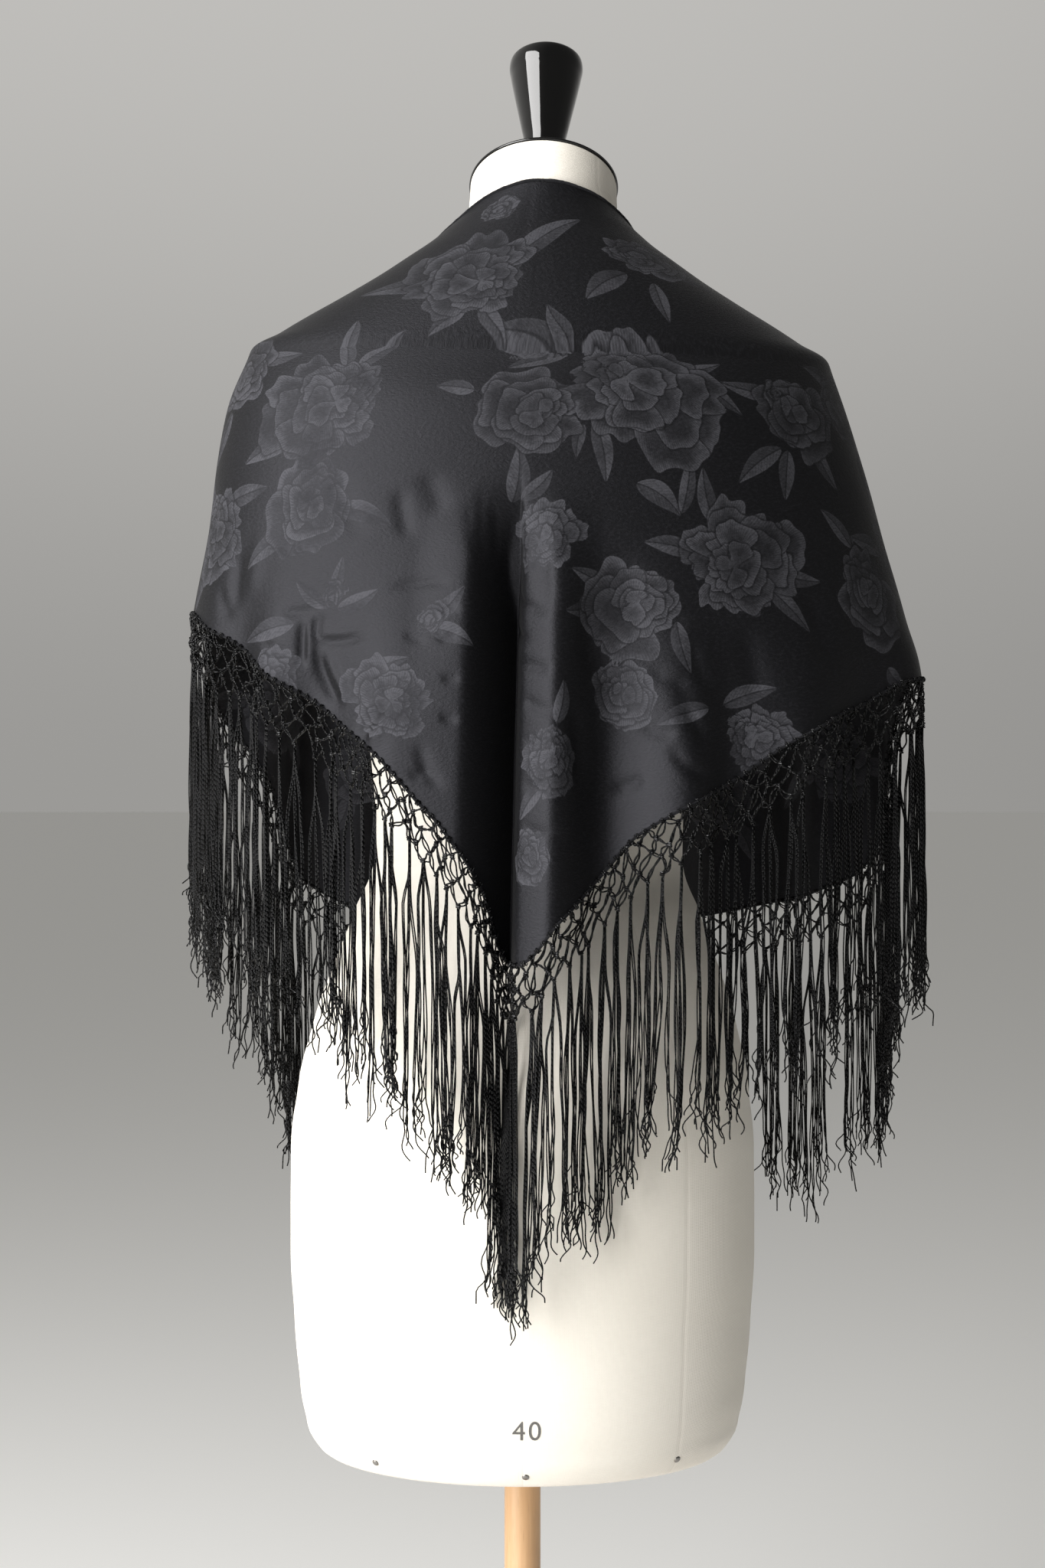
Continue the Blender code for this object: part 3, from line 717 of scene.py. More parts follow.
# Crests push outwards and troughs push inwards; each starts at its own top level
FOLDS = (
    Fold(-157.5, 0.004, 1.24, 0.18),
    Fold(-149.0, -0.010, 1.22, 0.18),
    Fold(-139.0, 0.010, 1.22, 0.18),
    Fold(-127.0, -0.014, 1.24, 0.18),
    Fold(-114.0, 0.011, 1.26, 0.18),
    Fold(-101.0, -0.010, 1.24, 0.18),
    Fold(-88.0, 0.003, 1.26, 0.18),
    Fold(-66.0, 0.004, 1.24, 0.14),
    Fold(-55.0, -0.006, 1.22, 0.12),
    Fold(-46.0, 0.004, 1.20, 0.12),
    Fold(-36.0, -0.008, 1.19, 0.12),
    Fold(-20.0, 0.009, 1.24, 0.16),
    Fold(-10.5, 0.010, 1.27, 0.10),
    Fold(-2.6, -0.034, 1.262, 0.075),
    Fold(2.7, 0.010, 1.262, 0.085),
    Fold(10.5, -0.016, 1.24, 0.18),
    Fold(21.5, 0.010, 1.20, 0.18),
    Fold(29.0, -0.009, 1.19, 0.18),
    Fold(41.5, 0.009, 1.20, 0.18),
    Fold(56.5, -0.011, 1.21, 0.18),
    Fold(74.0, 0.008, 1.25, 0.18),
    Fold(90.0, 0.002, 1.26, 0.18),
    Fold(103.0, -0.012, 1.24, 0.18),
    Fold(116.0, 0.011, 1.24, 0.18),
    Fold(128.0, -0.013, 1.22, 0.18),
    Fold(140.0, 0.010, 1.22, 0.18),
    Fold(149.0, -0.008, 1.22, 0.18),
    Fold(157.5, 0.004, 1.24, 0.18),
)

LONG_EDGE = (
    Edge(-157.5, 1.424),
    Edge(-110.0, 1.434),
    Edge(-60.0, 1.449),
    Edge(-25.0, 1.461),
    Edge(0.0, 1.4635),
    Edge(25.0, 1.462),
    Edge(60.0, 1.456),
    Edge(110.0, 1.443),
    Edge(157.5, 1.428),
)

HEM = (
    Edge(-157.5, 0.936),
    Edge(-140.0, 0.965),
    Edge(-131.0, 1.010),
    Edge(-124.0, 1.055),
    Edge(-116.0, 1.095),
    Edge(-105.0, 1.135),
    Edge(-88.0, 1.170),
    Edge(-66.0, 1.156),
    Edge(-46.0, 1.122),
    Edge(-30.0, 1.086),
    Edge(-16.0, 1.033),
    Edge(-11.5, 1.010),
    Edge(-7.0, 0.976),
    Edge(TIP_ANGLE, 0.926),
    Edge(4.0, 0.956),
    Edge(10.5, 0.990),
    Edge(16.0, 1.020),
    Edge(29.0, 1.054),
    Edge(41.5, 1.090),
    Edge(56.5, 1.112),
    Edge(74.0, 1.132),
    Edge(90.0, 1.134),
    Edge(105.0, 1.075),
    Edge(115.0, 1.010),
    Edge(123.0, 0.975),
    Edge(140.0, 0.955),
    Edge(157.5, 0.938),
)


def clear_of_form(x, y, level, clearance):
    """Moves points outwards, where they have to, until they stand clear of the form."""
    half_width, back, front = form_outline(level, clearance)
    depth = np.where(y < 0, back, front)
    grow = np.maximum(1.0, 1.0 / np.maximum(np.hypot(x / half_width, y / depth), 1e-6))
    return x * grow, y * grow


def fold_push(level, angle):
    """How far the folds move the cloth in or out; the centre fold meets in a sharp crease."""
    angles, sizes = column(FOLDS, "angle"), column(FOLDS, "push")
    tops, growths = column(FOLDS, "top"), column(FOLDS, "growth")
    after = np.clip(np.searchsorted(angles, angle), 1, len(FOLDS) - 1)
    share = (angle - angles[after - 1]) / (angles[after] - angles[after - 1])
    grown_before = sizes[after - 1] * smooth_step((tops[after - 1] - level) / growths[after - 1])
    grown_after = sizes[after] * smooth_step((tops[after] - level) / growths[after])
    blend = smooth_step(share)
    crease = int(np.argmin(sizes))
    into, out_of = after == crease, after == crease + 1
    sharp = 0.85
    blend = np.where(into, blend * (1 - sharp) + sharp * share**1.25, blend)
    lip = 0.74 * (1.0 - (1.0 - share) ** 15.0) + 0.26 * share
    blend = np.where(out_of, blend * (1 - sharp) + sharp * lip, blend)
    return grown_before * (1.0 - blend) + grown_after * blend


def hanging_points(level, angle):
    on_shoulders = form_outline(SHOULDER_LEVEL, CLOTH_STAND_OFF)
    rows = sorted((Hang(SHOULDER_LEVEL, on_shoulders[0], *on_shoulders), *HANG_SECTIONS))
    x, y, out = oval(angle, *[through(rows, "level", name, level) for name in Hang._fields[1:]])
    push = fold_push(level, angle)
    share = smooth_step((SHOULDER_LEVEL - level) / FOLD_GROWTH)
    clearance = CLOTH_STAND_OFF + (FOLD_CLEARANCE - CLOTH_STAND_OFF) * share
    x, y = clear_of_form(x + push * out[..., 0], y + push * out[..., 1], level, clearance)
    return set_in_space(level, x, y)


def lying_points(level, angle):
    """Cloth that lies on the neck and shoulders, a little off the canvas."""
    level = np.maximum(level, SHOULDER_LEVEL)
    step = 0.002
    here = form_points(level, angle)
    up = form_points(level + step, angle) - form_points(level - step, angle)
    around = form_points(level, angle + 0.5) - form_points(level, angle - 0.5)
    out = np.cross(around, up)
    return here + CLOTH_STAND_OFF * out / np.linalg.norm(out, axis=-1, keepdims=True)


def cloth_points(level, angle):
    on_shoulder = (level >= SHOULDER_LEVEL)[..., None]
    return np.where(on_shoulder, lying_points(level, angle), hanging_points(level, angle))


def length_along(points, axis):
    steps = np.linalg.norm(np.diff(points, axis=axis), axis=-1)
    start = np.zeros_like(np.take(steps, [0], axis=axis))
    return np.concatenate([start, np.cumsum(steps, axis=axis)], axis=axis)


def smoothed(values, times, axis=0):
    """A soft running mean along one axis that leaves the ends where they are."""
    values = np.moveaxis(values.copy(), axis, 0)
    for _ in range(times):
        values[1:-1] = (values[:-2] + 2.0 * values[1:-1] + values[2:]) / 4.0
    return np.moveaxis(values, 0, axis)


# Rows are evenly spaced along each column, and columns stand closer on the back than in front,
# and closest at the centre fold
trial_angles = np.linspace(-157.5, 157.5, 3000)
round_cloth = length_along(cloth_points(np.full(3000, 1.14), trial_angles), 0)
closeness = 0.55 + 0.45 * smooth_step((125.0 - np.abs(trial_angles)) / 30.0)
closeness += 0.7 * bell((trial_angles + 1.6) / 2.5)
counted = np.concatenate([[0.0], np.cumsum(np.diff(round_cloth) * closeness[1:])])
column_angles = np.interp(np.linspace(0.0, counted[-1], CLOTH_COLUMNS + 1), counted, trial_angles)
top_levels = through(LONG_EDGE, "angle", "level", column_angles)
hem_levels = through(HEM, "angle", "level", column_angles)
fall = np.linspace(0.0, 1.0, 260)
trial_levels = np.where(
    fall[:, None] < 0.5,
    top_levels + (SHOULDER_LEVEL - top_levels) * (1.0 - np.abs(1.0 - fall[:, None] * 2.0) ** 1.6),
    SHOULDER_LEVEL + (hem_levels - SHOULDER_LEVEL) * (fall[:, None] * 2.0 - 1.0),
)
trial_points = smoothed(cloth_points(trial_levels, np.broadcast_to(column_angles, trial_levels.shape)), 10)
rounder = smoothed(trial_points, 260)
from_side = np.abs(np.abs(column_angles) - 90.0)
rounding = 0.12 + 0.88 * smooth_step((from_side - 6.0) / 40.0)
rounding = rounding * bell((trial_levels - SHOULDER_LEVEL) / 0.045)
trial_points += rounding[..., None] * (rounder - trial_points)
down_cloth = length_along(trial_points, 0)
row_shares = np.linspace(0.0, 1.0, CLOTH_ROWS + 1)
net = np.zeros((CLOTH_ROWS + 1, CLOTH_COLUMNS + 1, 3))
net_levels = np.zeros((CLOTH_ROWS + 1, CLOTH_COLUMNS + 1))
for number in range(CLOTH_COLUMNS + 1):
    stops = row_shares * down_cloth[-1, number]
    for part in range(3):
        net[:, number, part] = np.interp(stops, down_cloth[:, number], trial_points[:, number, part])
    net_levels[:, number] = np.interp(stops, down_cloth[:, number], trial_levels[:, number])
net = smoothed(smoothed(net, 3), 2, axis=1)


def facing(points):
    """The direction square to the cloth at each place of the net, outwards."""
    across = np.gradient(points, axis=1)
    down = np.gradient(points, axis=0)
    out = np.cross(down, across)
    return out / np.linalg.norm(out, axis=-1, keepdims=True)


# Millimetres on the flat cloth, read off a table of levels and columns, so that flowers and
# creases are drawn at their true size whatever the folds do
chart_levels = np.linspace(0.90, 1.48, 117)
chart = cloth_points(*np.meshgrid(chart_levels, column_angles, indexing="ij"))
chart_across = length_along(chart, 1) * 1000.0
chart_across -= chart_across[:, [int(np.argmin(np.abs(column_angles)))]]
chart_down = -length_along(chart, 0) * 1000.0
net_across, net_down = np.zeros_like(net_levels), np.zeros_like(net_levels)
for number in range(CLOTH_COLUMNS + 1):
    net_across[:, number] = np.interp(net_levels[:, number], chart_levels, chart_across[:, number])
    net_down[:, number] = np.interp(net_levels[:, number], chart_levels, chart_down[:, number])


def measured_from(mark):
    """How far each place of the net lies along and beside a mark that starts at an angle and a
    level and runs in the direction of its turn: 0 to the right, 90 straight down."""
    at_angle = np.array([np.interp(mark.angle, column_angles, row) for row in chart_across])
    at_level = np.array([np.interp(mark.level, chart_levels, line) for line in chart_down.T])
    right = net_across - np.interp(net_levels, chart_levels, at_angle)
    down = net_down - at_level
    c, s = math.cos(math.radians(mark.turn)), math.sin(math.radians(mark.turn))
    return right * c + down * s, down * c - right * s


# Creases: soft troughs (minus) and ridges, in millimetres, where the cloth is drawn together
Crease = namedtuple("Crease", "angle level length turn bend width depth")
CREASES = (
    Crease(-59.1, 1.212, 41.0, 87.0, 1.0, 6.5, -2.2),
    Crease(-53.9, 1.222, 41.0, 90.0, -1.0, 7.0, 1.3),
    Crease(-39.6, 1.161, 32.0, 90.0, -0.8, 3.8, -2.8),
    Crease(-38.4, 1.159, 28.0, 85.0, 0.5, 3.6, 2.2),
    Crease(-36.5, 1.166, 18.0, 98.0, 0.8, 4.0, -1.9),
    Crease(-36.5, 1.138, 41.0, 62.0, 2.0, 5.0, -3.2),
    Crease(-34.7, 1.137, 39.0, 55.0, 2.0, 4.5, 1.7),
    Crease(-36.5, 1.147, 35.0, -5.0, 1.2, 3.6, -2.2),
    Crease(-36.5, 1.151, 31.0, -3.0, 1.0, 3.6, 1.3),
    Crease(-44.6, 1.167, 30.0, -6.0, 1.5, 3.8, -1.6),
    Crease(-26.7, 1.079, 29.0, -54.0, -2.0, 5.0, -2.8),
    Crease(-25.0, 1.074, 27.0, -57.0, -2.0, 4.6, 1.6),
    Crease(-22.9, 1.184, 39.0, -6.0, -1.0, 3.6, -1.3),
    Crease(-14.8, 1.168, 14.0, -13.0, 0.6, 3.6, -1.4),
    Crease(-14.8, 1.149, 14.0, -10.0, 0.8, 3.6, -1.6),
    Crease(-20.1, 1.151, 15.0, 15.0, 0.8, 3.6, -0.9),
    Crease(-49.1, 1.147, 30.0, 20.0, 1.0, 4.0, -1.4),
    Crease(-65.0, 1.187, 29.0, 56.0, 1.0, 5.0, -1.7),
    Crease(-19.1, 1.263, 31.0, 65.0, -2.0, 8.0, -1.4),
    Crease(-35.3, 1.260, 45.0, 63.0, 2.0, 9.0, -1.2),
    Crease(-23.4, 1.252, 34.0, 75.0, 1.0, 6.0, -1.6),
    Crease(-24.5, 1.130, 27.0, 63.0, 1.0, 5.0, -1.4),
    Crease(-16.9, 1.075, 32.0, 62.0, 2.0, 5.0, -1.7),
    Crease(-13.7, 1.095, 12.0, 11.0, 0.6, 3.6, -1.4),
    Crease(-13.7, 1.121, 12.0, -4.0, 0.6, 3.6, -1.3),
    Crease(-18.0, 1.053, 14.0, -32.0, 1.0, 4.0, -1.3),
    Crease(-11.0, 1.244, 38.0, 81.0, 1.5, 4.4, -0.8),
    Crease(-9.1, 1.250, 44.0, 86.0, 1.5, 4.4, -0.8),
    Crease(-7.4, 1.246, 42.0, 83.0, -1.5, 4.2, -0.7),
    Crease(-2.4, 1.183, 39.0, 24.0, 1.5, 3.6, -1.7),
    Crease(-2.7, 1.158, 35.0, 12.0, 1.2, 3.6, -1.7),
    Crease(-2.1, 1.136, 31.0, 15.0, 1.0, 3.6, -1.9),
    Crease(-1.8, 1.109, 37.0, 19.0, 1.0, 3.8, -1.7),
    Crease(-1.5, 1.080, 37.0, 16.0, 1.0, 3.8, -1.7),
    Crease(-1.2, 1.049, 36.0, 8.0, 1.0, 3.8, -1.7),
    Crease(-1.2, 1.020, 34.0, 10.0, 1.0, 3.8, -1.7),
    Crease(0.8, 1.219, 51.0, 82.0, 2.0, 8.0, -1.6),
    Crease(7.6, 1.185, 60.0, 85.0, 2.0, 9.0, -1.8),
    Crease(12.9, 1.212, 52.0, 80.0, 2.0, 10.0, -1.4),
    Crease(5.4, 1.105, 57.0, 82.0, -2.0, 8.0, -1.8),
    Crease(15.2, 1.093, 25.0, 17.0, 2.0, 5.0, -1.6),
    Crease(20.8, 1.128, 44.0, 77.0, 2.0, 8.0, -1.9),
    Crease(31.8, 1.161, 49.0, 81.0, 2.0, 9.0, -1.9),
    Crease(45.7, 1.190, 53.0, 87.0, 2.0, 9.0, -1.9),
    Crease(11.5, 1.049, 22.0, -15.0, 2.0, 5.0, -1.8),
    Crease(19.0, 1.075, 34.0, 35.0, 3.0, 4.0, -2.0),
    Crease(21.0, 1.105, 30.0, 62.0, -2.0, 4.5, -1.8),
    Crease(16.5, 1.130, 26.0, 20.0, 2.0, 4.2, -1.4),
    Crease(22.5, 1.150, 34.0, 70.0, 3.0, 5.0, -1.5),
    Crease(17.5, 1.165, 22.0, 8.0, -2.0, 4.2, -1.2),
    Crease(-49.8, 1.247, 43.0, 52.0, 3.0, 10.0, -1.0),
    Crease(-81.6, 1.262, 56.0, 54.0, 2.0, 8.0, -1.3),
)

creased = np.zeros_like(net_levels)
for crease in CREASES:
    along, beside = measured_from(crease)
    share = np.clip(along / crease.length, 0.0, 1.0)
    beside = beside - crease.bend * 4.0 * share * (1.0 - share)
    ends = smooth_step((along + 0.15 * crease.length) / (0.45 * crease.length))
    ends = ends * smooth_step((1.15 * crease.length - along) / (0.45 * crease.length))
    creased += crease.depth * ends * bell(beside / crease.width)
net += facing(net) * creased[..., None] / 1000.0

shawl, across_share, up_share = new_grid("damask_shawl", CLOTH_COLUMNS, CLOTH_ROWS)
place_column = np.rint(across_share * CLOTH_COLUMNS).astype(int)
place_row = np.rint((1.0 - up_share) * CLOTH_ROWS).astype(int)
set_points(shawl, net[place_row, place_column])
bpy.ops.object.shade_smooth()

# Flowers: open peonies and roses with leaves and buds, woven in sprays. Sizes are millimetres
# on the flat cloth, and each ring of petals has its count and its share of the bloom's size.
Bloom = namedtuple("Bloom", "angle level size turn lean squash rings")
Leaf = namedtuple("Leaf", "angle level length turn width bend")

PEONY = ((10, 1.00), (8, 0.80), (8, 0.60), (6, 0.37))
ROSE = ((6, 1.00), (6, 0.80), (4, 0.60), (4, 0.34))
RIB_SPACING = 1.7
VEIN_SPACING = 3.4
MM_A_DEGREE = 4.4

BLOOMS = (
    Bloom(-16.5, 1.397, 47.0, 195.0, 0.3, 0.8, PEONY),
    Bloom(-23.6, 1.444, 15.0, 0.0, 0.2, 0.7, ROSE),
    Bloom(-37.9, 1.317, 50.0, 160.0, 0.25, 0.85, PEONY),
    Bloom(-41.0, 1.245, 39.0, 100.0, 0.2, 0.85, ROSE),
    Bloom(0.0, 1.310, 41.0, 170.0, 0.3, 0.8, ROSE),
    Bloom(15.4, 1.337, 63.0, 35.0, 0.35, 0.78, PEONY),
    Bloom(33.6, 1.416, 33.0, 0.0, 0.25, 0.6, ROSE),
    Bloom(51.3, 1.322, 35.0, 60.0, 0.2, 0.95, ROSE),
    Bloom(0.5, 1.218, 30.0, -40.0, 0.25, 0.8, PEONY),
    Bloom(14.9, 1.176, 39.0, 150.0, 0.25, 0.85, ROSE),
    Bloom(30.4, 1.205, 49.0, -20.0, 0.3, 0.85, PEONY),
    Bloom(61.9, 1.196, 37.0, 90.0, 0.2, 0.8, ROSE),
    Bloom(12.6, 1.115, 28.0, 60.0, 0.2, 0.85, ROSE),
    Bloom(2.4, 1.071, 26.0, 90.0, 0.3, 0.8, PEONY),
    Bloom(0.0, 1.002, 22.0, 80.0, 0.2, 0.75, ROSE),
    Bloom(-21.4, 1.103, 34.0, 200.0, 0.25, 0.85, PEONY),
    Bloom(-46.0, 1.122, 28.0, 120.0, 0.2, 0.8, ROSE),
    Bloom(32.5, 1.086, 30.0, 30.0, 0.25, 0.8, PEONY),
    Bloom(-34.2, 1.176, 10.0, -81.0, 0.3, 0.7, ROSE),
    Bloom(47.6, 1.332, 11.0, -172.0, 0.3, 0.7, ROSE),
    Bloom(-16.5, 1.160, 14.0, -45.0, 0.3, 0.7, ROSE),
    Bloom(-95.0, 1.395, 29.0, 10.0, 0.2, 0.8, ROSE),
    Bloom(-74.0, 1.235, 38.0, 60.0, 0.3, 0.85, PEONY),
    Bloom(-72.0, 1.345, 36.0, 190.0, 0.2, 0.85, ROSE),
    Bloom(-107.0, 1.215, 34.0, 140.0, 0.2, 0.85, ROSE),
    Bloom(-118.0, 1.310, 43.0, 40.0, 0.3, 0.85, PEONY),
    Bloom(-128.0, 1.110, 36.0, 80.0, 0.3, 0.85, PEONY),
    Bloom(-139.0, 1.225, 43.0, 200.0, 0.2, 0.85, ROSE),
    Bloom(-149.0, 1.060, 31.0, 20.0, 0.2, 0.8, ROSE),
    Bloom(-150.0, 1.335, 36.0, 110.0, 0.3, 0.85, PEONY),
    Bloom(80.0, 1.225, 32.0, 30.0, 0.3, 0.85, PEONY),
    Bloom(78.0, 1.330, 34.0, 170.0, 0.2, 0.8, ROSE),
    Bloom(100.0, 1.290, 41.0, 160.0, 0.3, 0.85, PEONY),
    Bloom(103.0, 1.395, 29.0, 60.0, 0.2, 0.8, ROSE),
    Bloom(112.0, 1.190, 38.0, 50.0, 0.2, 0.85, ROSE),
    Bloom(125.0, 1.080, 34.0, 120.0, 0.3, 0.85, PEONY),
    Bloom(128.0, 1.310, 38.0, 20.0, 0.2, 0.85, ROSE),
    Bloom(143.0, 1.200, 43.0, 210.0, 0.3, 0.85, PEONY),
    Bloom(147.0, 1.045, 31.0, 70.0, 0.2, 0.8, ROSE),
    Bloom(151.0, 1.360, 34.0, 100.0, 0.3, 0.85, PEONY),
)

LEAVES = [
    Leaf(5.0, 1.362, 56.0, -173.0, 9.0, 3.0),
    Leaf(5.9, 1.364, 28.0, -122.0, 7.5, -3.0),
    Leaf(4.6, 1.361, 45.0, 156.0, 7.0, 3.0),
    Leaf(24.8, 1.344, 38.0, -19.0, 6.0, 2.0),
    Leaf(24.8, 1.342, 56.0, 33.0, 7.5, -3.0),
    Leaf(9.3, 1.304, 46.0, 82.0, 7.0, -2.5),
    Leaf(7.4, 1.301, 26.0, 102.0, 4.5, 1.5),
    Leaf(-11.2, 1.324, 28.0, -174.0, 6.0, 1.0),
    Leaf(-4.1, 1.244, 41.0, -86.0, 8.0, 3.0),
    Leaf(-2.6, 1.246, 31.0, -46.0, 6.0, 2.0),
    Leaf(15.8, 1.260, 37.0, 36.0, 8.5, -4.0),
    Leaf(22.9, 1.240, 47.0, -77.0, 5.5, 2.0),
    Leaf(-9.2, 1.408, 59.0, -44.0, 9.0, -3.0),
    Leaf(-21.4, 1.395, 77.0, 177.0, 9.5, 4.0),
    Leaf(-17.6, 1.386, 32.0, 118.0, 8.5, -3.0),
    Leaf(-13.3, 1.383, 35.0, 42.0, 6.5, 2.0),
    Leaf(-37.3, 1.342, 44.0, -104.0, 6.5, 2.0),
    Leaf(-34.8, 1.342, 41.0, -47.0, 6.5, -2.0),
    Leaf(-46.7, 1.290, 48.0, 162.0, 8.0, 3.0),
    Leaf(-35.4, 1.241, 46.0, 18.0, 7.5, -3.0),
    Leaf(-44.7, 1.227, 47.0, 142.0, 8.0, 3.0),
    Leaf(-34.2, 1.176, 31.0, -81.0, 5.0, 0.5),
    Leaf(-34.8, 1.170, 35.0, -144.0, 5.5, -2.0),
    Leaf(-33.0, 1.169, 34.0, -25.0, 6.0, 2.0),
    Leaf(-41.6, 1.159, 46.0, 164.0, 8.0, 2.0),
    Leaf(-28.5, 1.119, 44.0, -22.0, 6.5, -2.0),
    Leaf(24.4, 1.404, 50.0, 150.0, 7.5, 2.5),
    Leaf(31.4, 1.400, 41.0, 108.0, 6.0, 0.5),
    Leaf(42.4, 1.411, 34.0, 37.0, 7.0, -2.0),
    Leaf(47.0, 1.291, 40.0, 107.0, 6.5, 0.5),
    Leaf(45.3, 1.292, 50.0, 145.0, 7.0, 2.5),
    Leaf(47.6, 1.332, 46.0, -172.0, 7.0, -2.5),
    Leaf(54.6, 1.302, 41.0, 69.0, 6.5, 2.0),
    Leaf(10.7, 1.187, 30.0, -156.0, 6.0, 0.5),
    Leaf(10.7, 1.177, 36.0, 168.0, 6.5, -2.0),
    Leaf(20.5, 1.165, 38.0, 78.0, 6.5, 2.0),
    Leaf(28.8, 1.232, 43.0, -96.0, 7.0, -2.5),
    Leaf(36.8, 1.204, 45.0, 8.0, 7.0, 2.0),
    Leaf(36.2, 1.193, 45.0, 47.0, 7.0, -2.0),
    Leaf(24.4, 1.213, 36.0, -170.0, 7.0, 2.0),
    Leaf(59.7, 1.225, 35.0, -130.0, 6.5, 2.0),
    Leaf(27.2, 1.107, 43.0, -18.0, 7.0, -2.0),
    Leaf(24.8, 1.105, 43.0, 162.0, 7.0, 2.0),
    Leaf(3.2, 1.091, 32.0, -81.0, 6.0, 2.0),
    Leaf(1.4, 1.050, 32.0, 126.0, 6.0, 1.5),
    Leaf(-16.5, 1.160, 36.0, -45.0, 6.5, 2.0),
    Leaf(-16.5, 1.156, 37.0, 20.0, 7.0, -2.5),
    Leaf(63.4, 1.139, 18.0, 41.0, 6.0, 2.0),
    Leaf(-83.6, 1.217, 41.0, -93.0, 6.5, 2.0),
    Leaf(-83.6, 1.346, 40.0, 93.0, 6.5, -2.0),
]
for bloom in BLOOMS:
    if abs(bloom.angle) > 70.0:
        for number, way in enumerate((35.0, 150.0, 275.0)):
            way += bloom.turn
            right = 0.8 * bloom.size * math.cos(math.radians(way))
            down = 0.8 * bloom.size * math.sin(math.radians(way))
            place = (bloom.angle + right / MM_A_DEGREE, bloom.level - down / 1000.0)
            LEAVES.append(Leaf(*place, 36.0 + 4.0 * number, way + 12.0, 7.5, 3.0 - 2.0 * number))

# Two layers of leaves, so that neighbours don't share one: half width, beside and along, in mm
leaf_layers = np.zeros((2, *net_levels.shape, 3))
leaf_layers[..., 0] = -12.0
for number, leaf in enumerate(LEAVES):
    along, beside = measured_from(leaf)
    share = np.clip(along / leaf.length, 0.0, 1.0)
    beside = beside - leaf.bend * 4.0 * share * (1.0 - share)
    half = leaf.width * np.abs(np.sin(np.pi * share**0.75)) ** 0.9
    past = np.minimum(along, leaf.length - along)
    half = np.where(past < 0.0, 3.0 * past, half)
    layer = leaf_layers[number % 2]
    inside = half - np.abs(beside)
    taken = (inside > -6.0) & (inside > layer[..., 0] - np.abs(layer[..., 1]))
    layer[taken] = np.stack([half, beside, along], axis=-1)[taken]

# Petals lie in rings from the rim to the heart, every second one on a layer of its own: how
# deep inside the outline in mm, how pale, and the turn of the fine lines along the petal
petal_layers = np.zeros((2 * len(PEONY), *net_levels.shape, 3))
petal_layers[..., 0] = -9.0
petal_layers[..., 1] = 0.8
chance = np.random.default_rng(5)
for bloom in BLOOMS:
    along, beside = measured_from(bloom)
    beside = beside / bloom.squash
    along, beside = (
        along + 0.050 * bloom.size * np.sin(beside / (0.17 * bloom.size) + bloom.angle),
        beside + 0.045 * bloom.size * np.sin(along / (0.14 * bloom.size) + bloom.turn),
    )
    near = np.hypot(along, beside) < 1.5 * bloom.size + 9.0
    far = np.hypot(along[near], beside[near])
    way = np.arctan2(beside[near], along[near])
    for ring, (count, reach) in enumerate(bloom.rings):
        spacing = 2.0 * math.pi / count
        for petal in range(count):
            middle = spacing * (petal + 0.5 * (ring % 2) + chance.uniform(-0.22, 0.22))
            size = bloom.size * reach * (1.0 + bloom.lean * math.cos(middle)) * chance.uniform(0.84, 1.12)
            turned = (way - middle + math.pi) % (2.0 * math.pi) - math.pi
            spread = chance.uniform(0.62, 0.80) * spacing
            part = turned / spread
            lobe = 1.0 - 0.10 * part**2 - 0.07 * bell(part / 0.17) + 0.036 * np.cos(9.0 * part + petal)
            rim = size * lobe - far
            side = far * (spread - np.abs(turned))
            soft = 0.13 * size
            depth = np.maximum(-soft * np.logaddexp(-rim / soft, -side / soft), -9.0)
            tone = np.full_like(depth, chance.uniform(0.55, 1.0))
            lines = turned * 0.8 * size * 2.0 * math.pi / RIB_SPACING
            layer = petal_layers[2 * ring + petal % 2]
            kept = layer[near]
            deeper = depth > kept[:, 0]
            kept[deeper] = np.stack([depth, tone, lines], axis=1)[deeper]
            layer[near] = kept

set_uv(shawl, net_across[place_row, place_column] / 1000.0, -net_down[place_row, place_column] / 1000.0)
for kind, layers in (("leaves", leaf_layers), ("petals", petal_layers)):
    for number, layer in enumerate(layers):
        set_attribute(shawl, f"{kind}_{number}", layer[place_row, place_column], "FLOAT_VECTOR")


def laid_over(tree, below, inside, tone):
    """A woven shape over the tone below it: a crisp edge, a paler rim and a dark gap round it."""
    mask = ramp(tree, inside, -0.30, 0.30)
    gap = ramp(tree, inside, -2.0, -0.25, 1.0, 0.14)
    rim = ramp(tree, inside, 0.45, 1.40, 1.22, 1.0)
    rimmed = maths(tree, "MULTIPLY", tone, rim)
    shaded = maths(tree, "MULTIPLY", below, gap)
    return add_node(tree, "ShaderNodeMix", {0: mask, 2: shaded, 3: rimmed}).outputs[0]


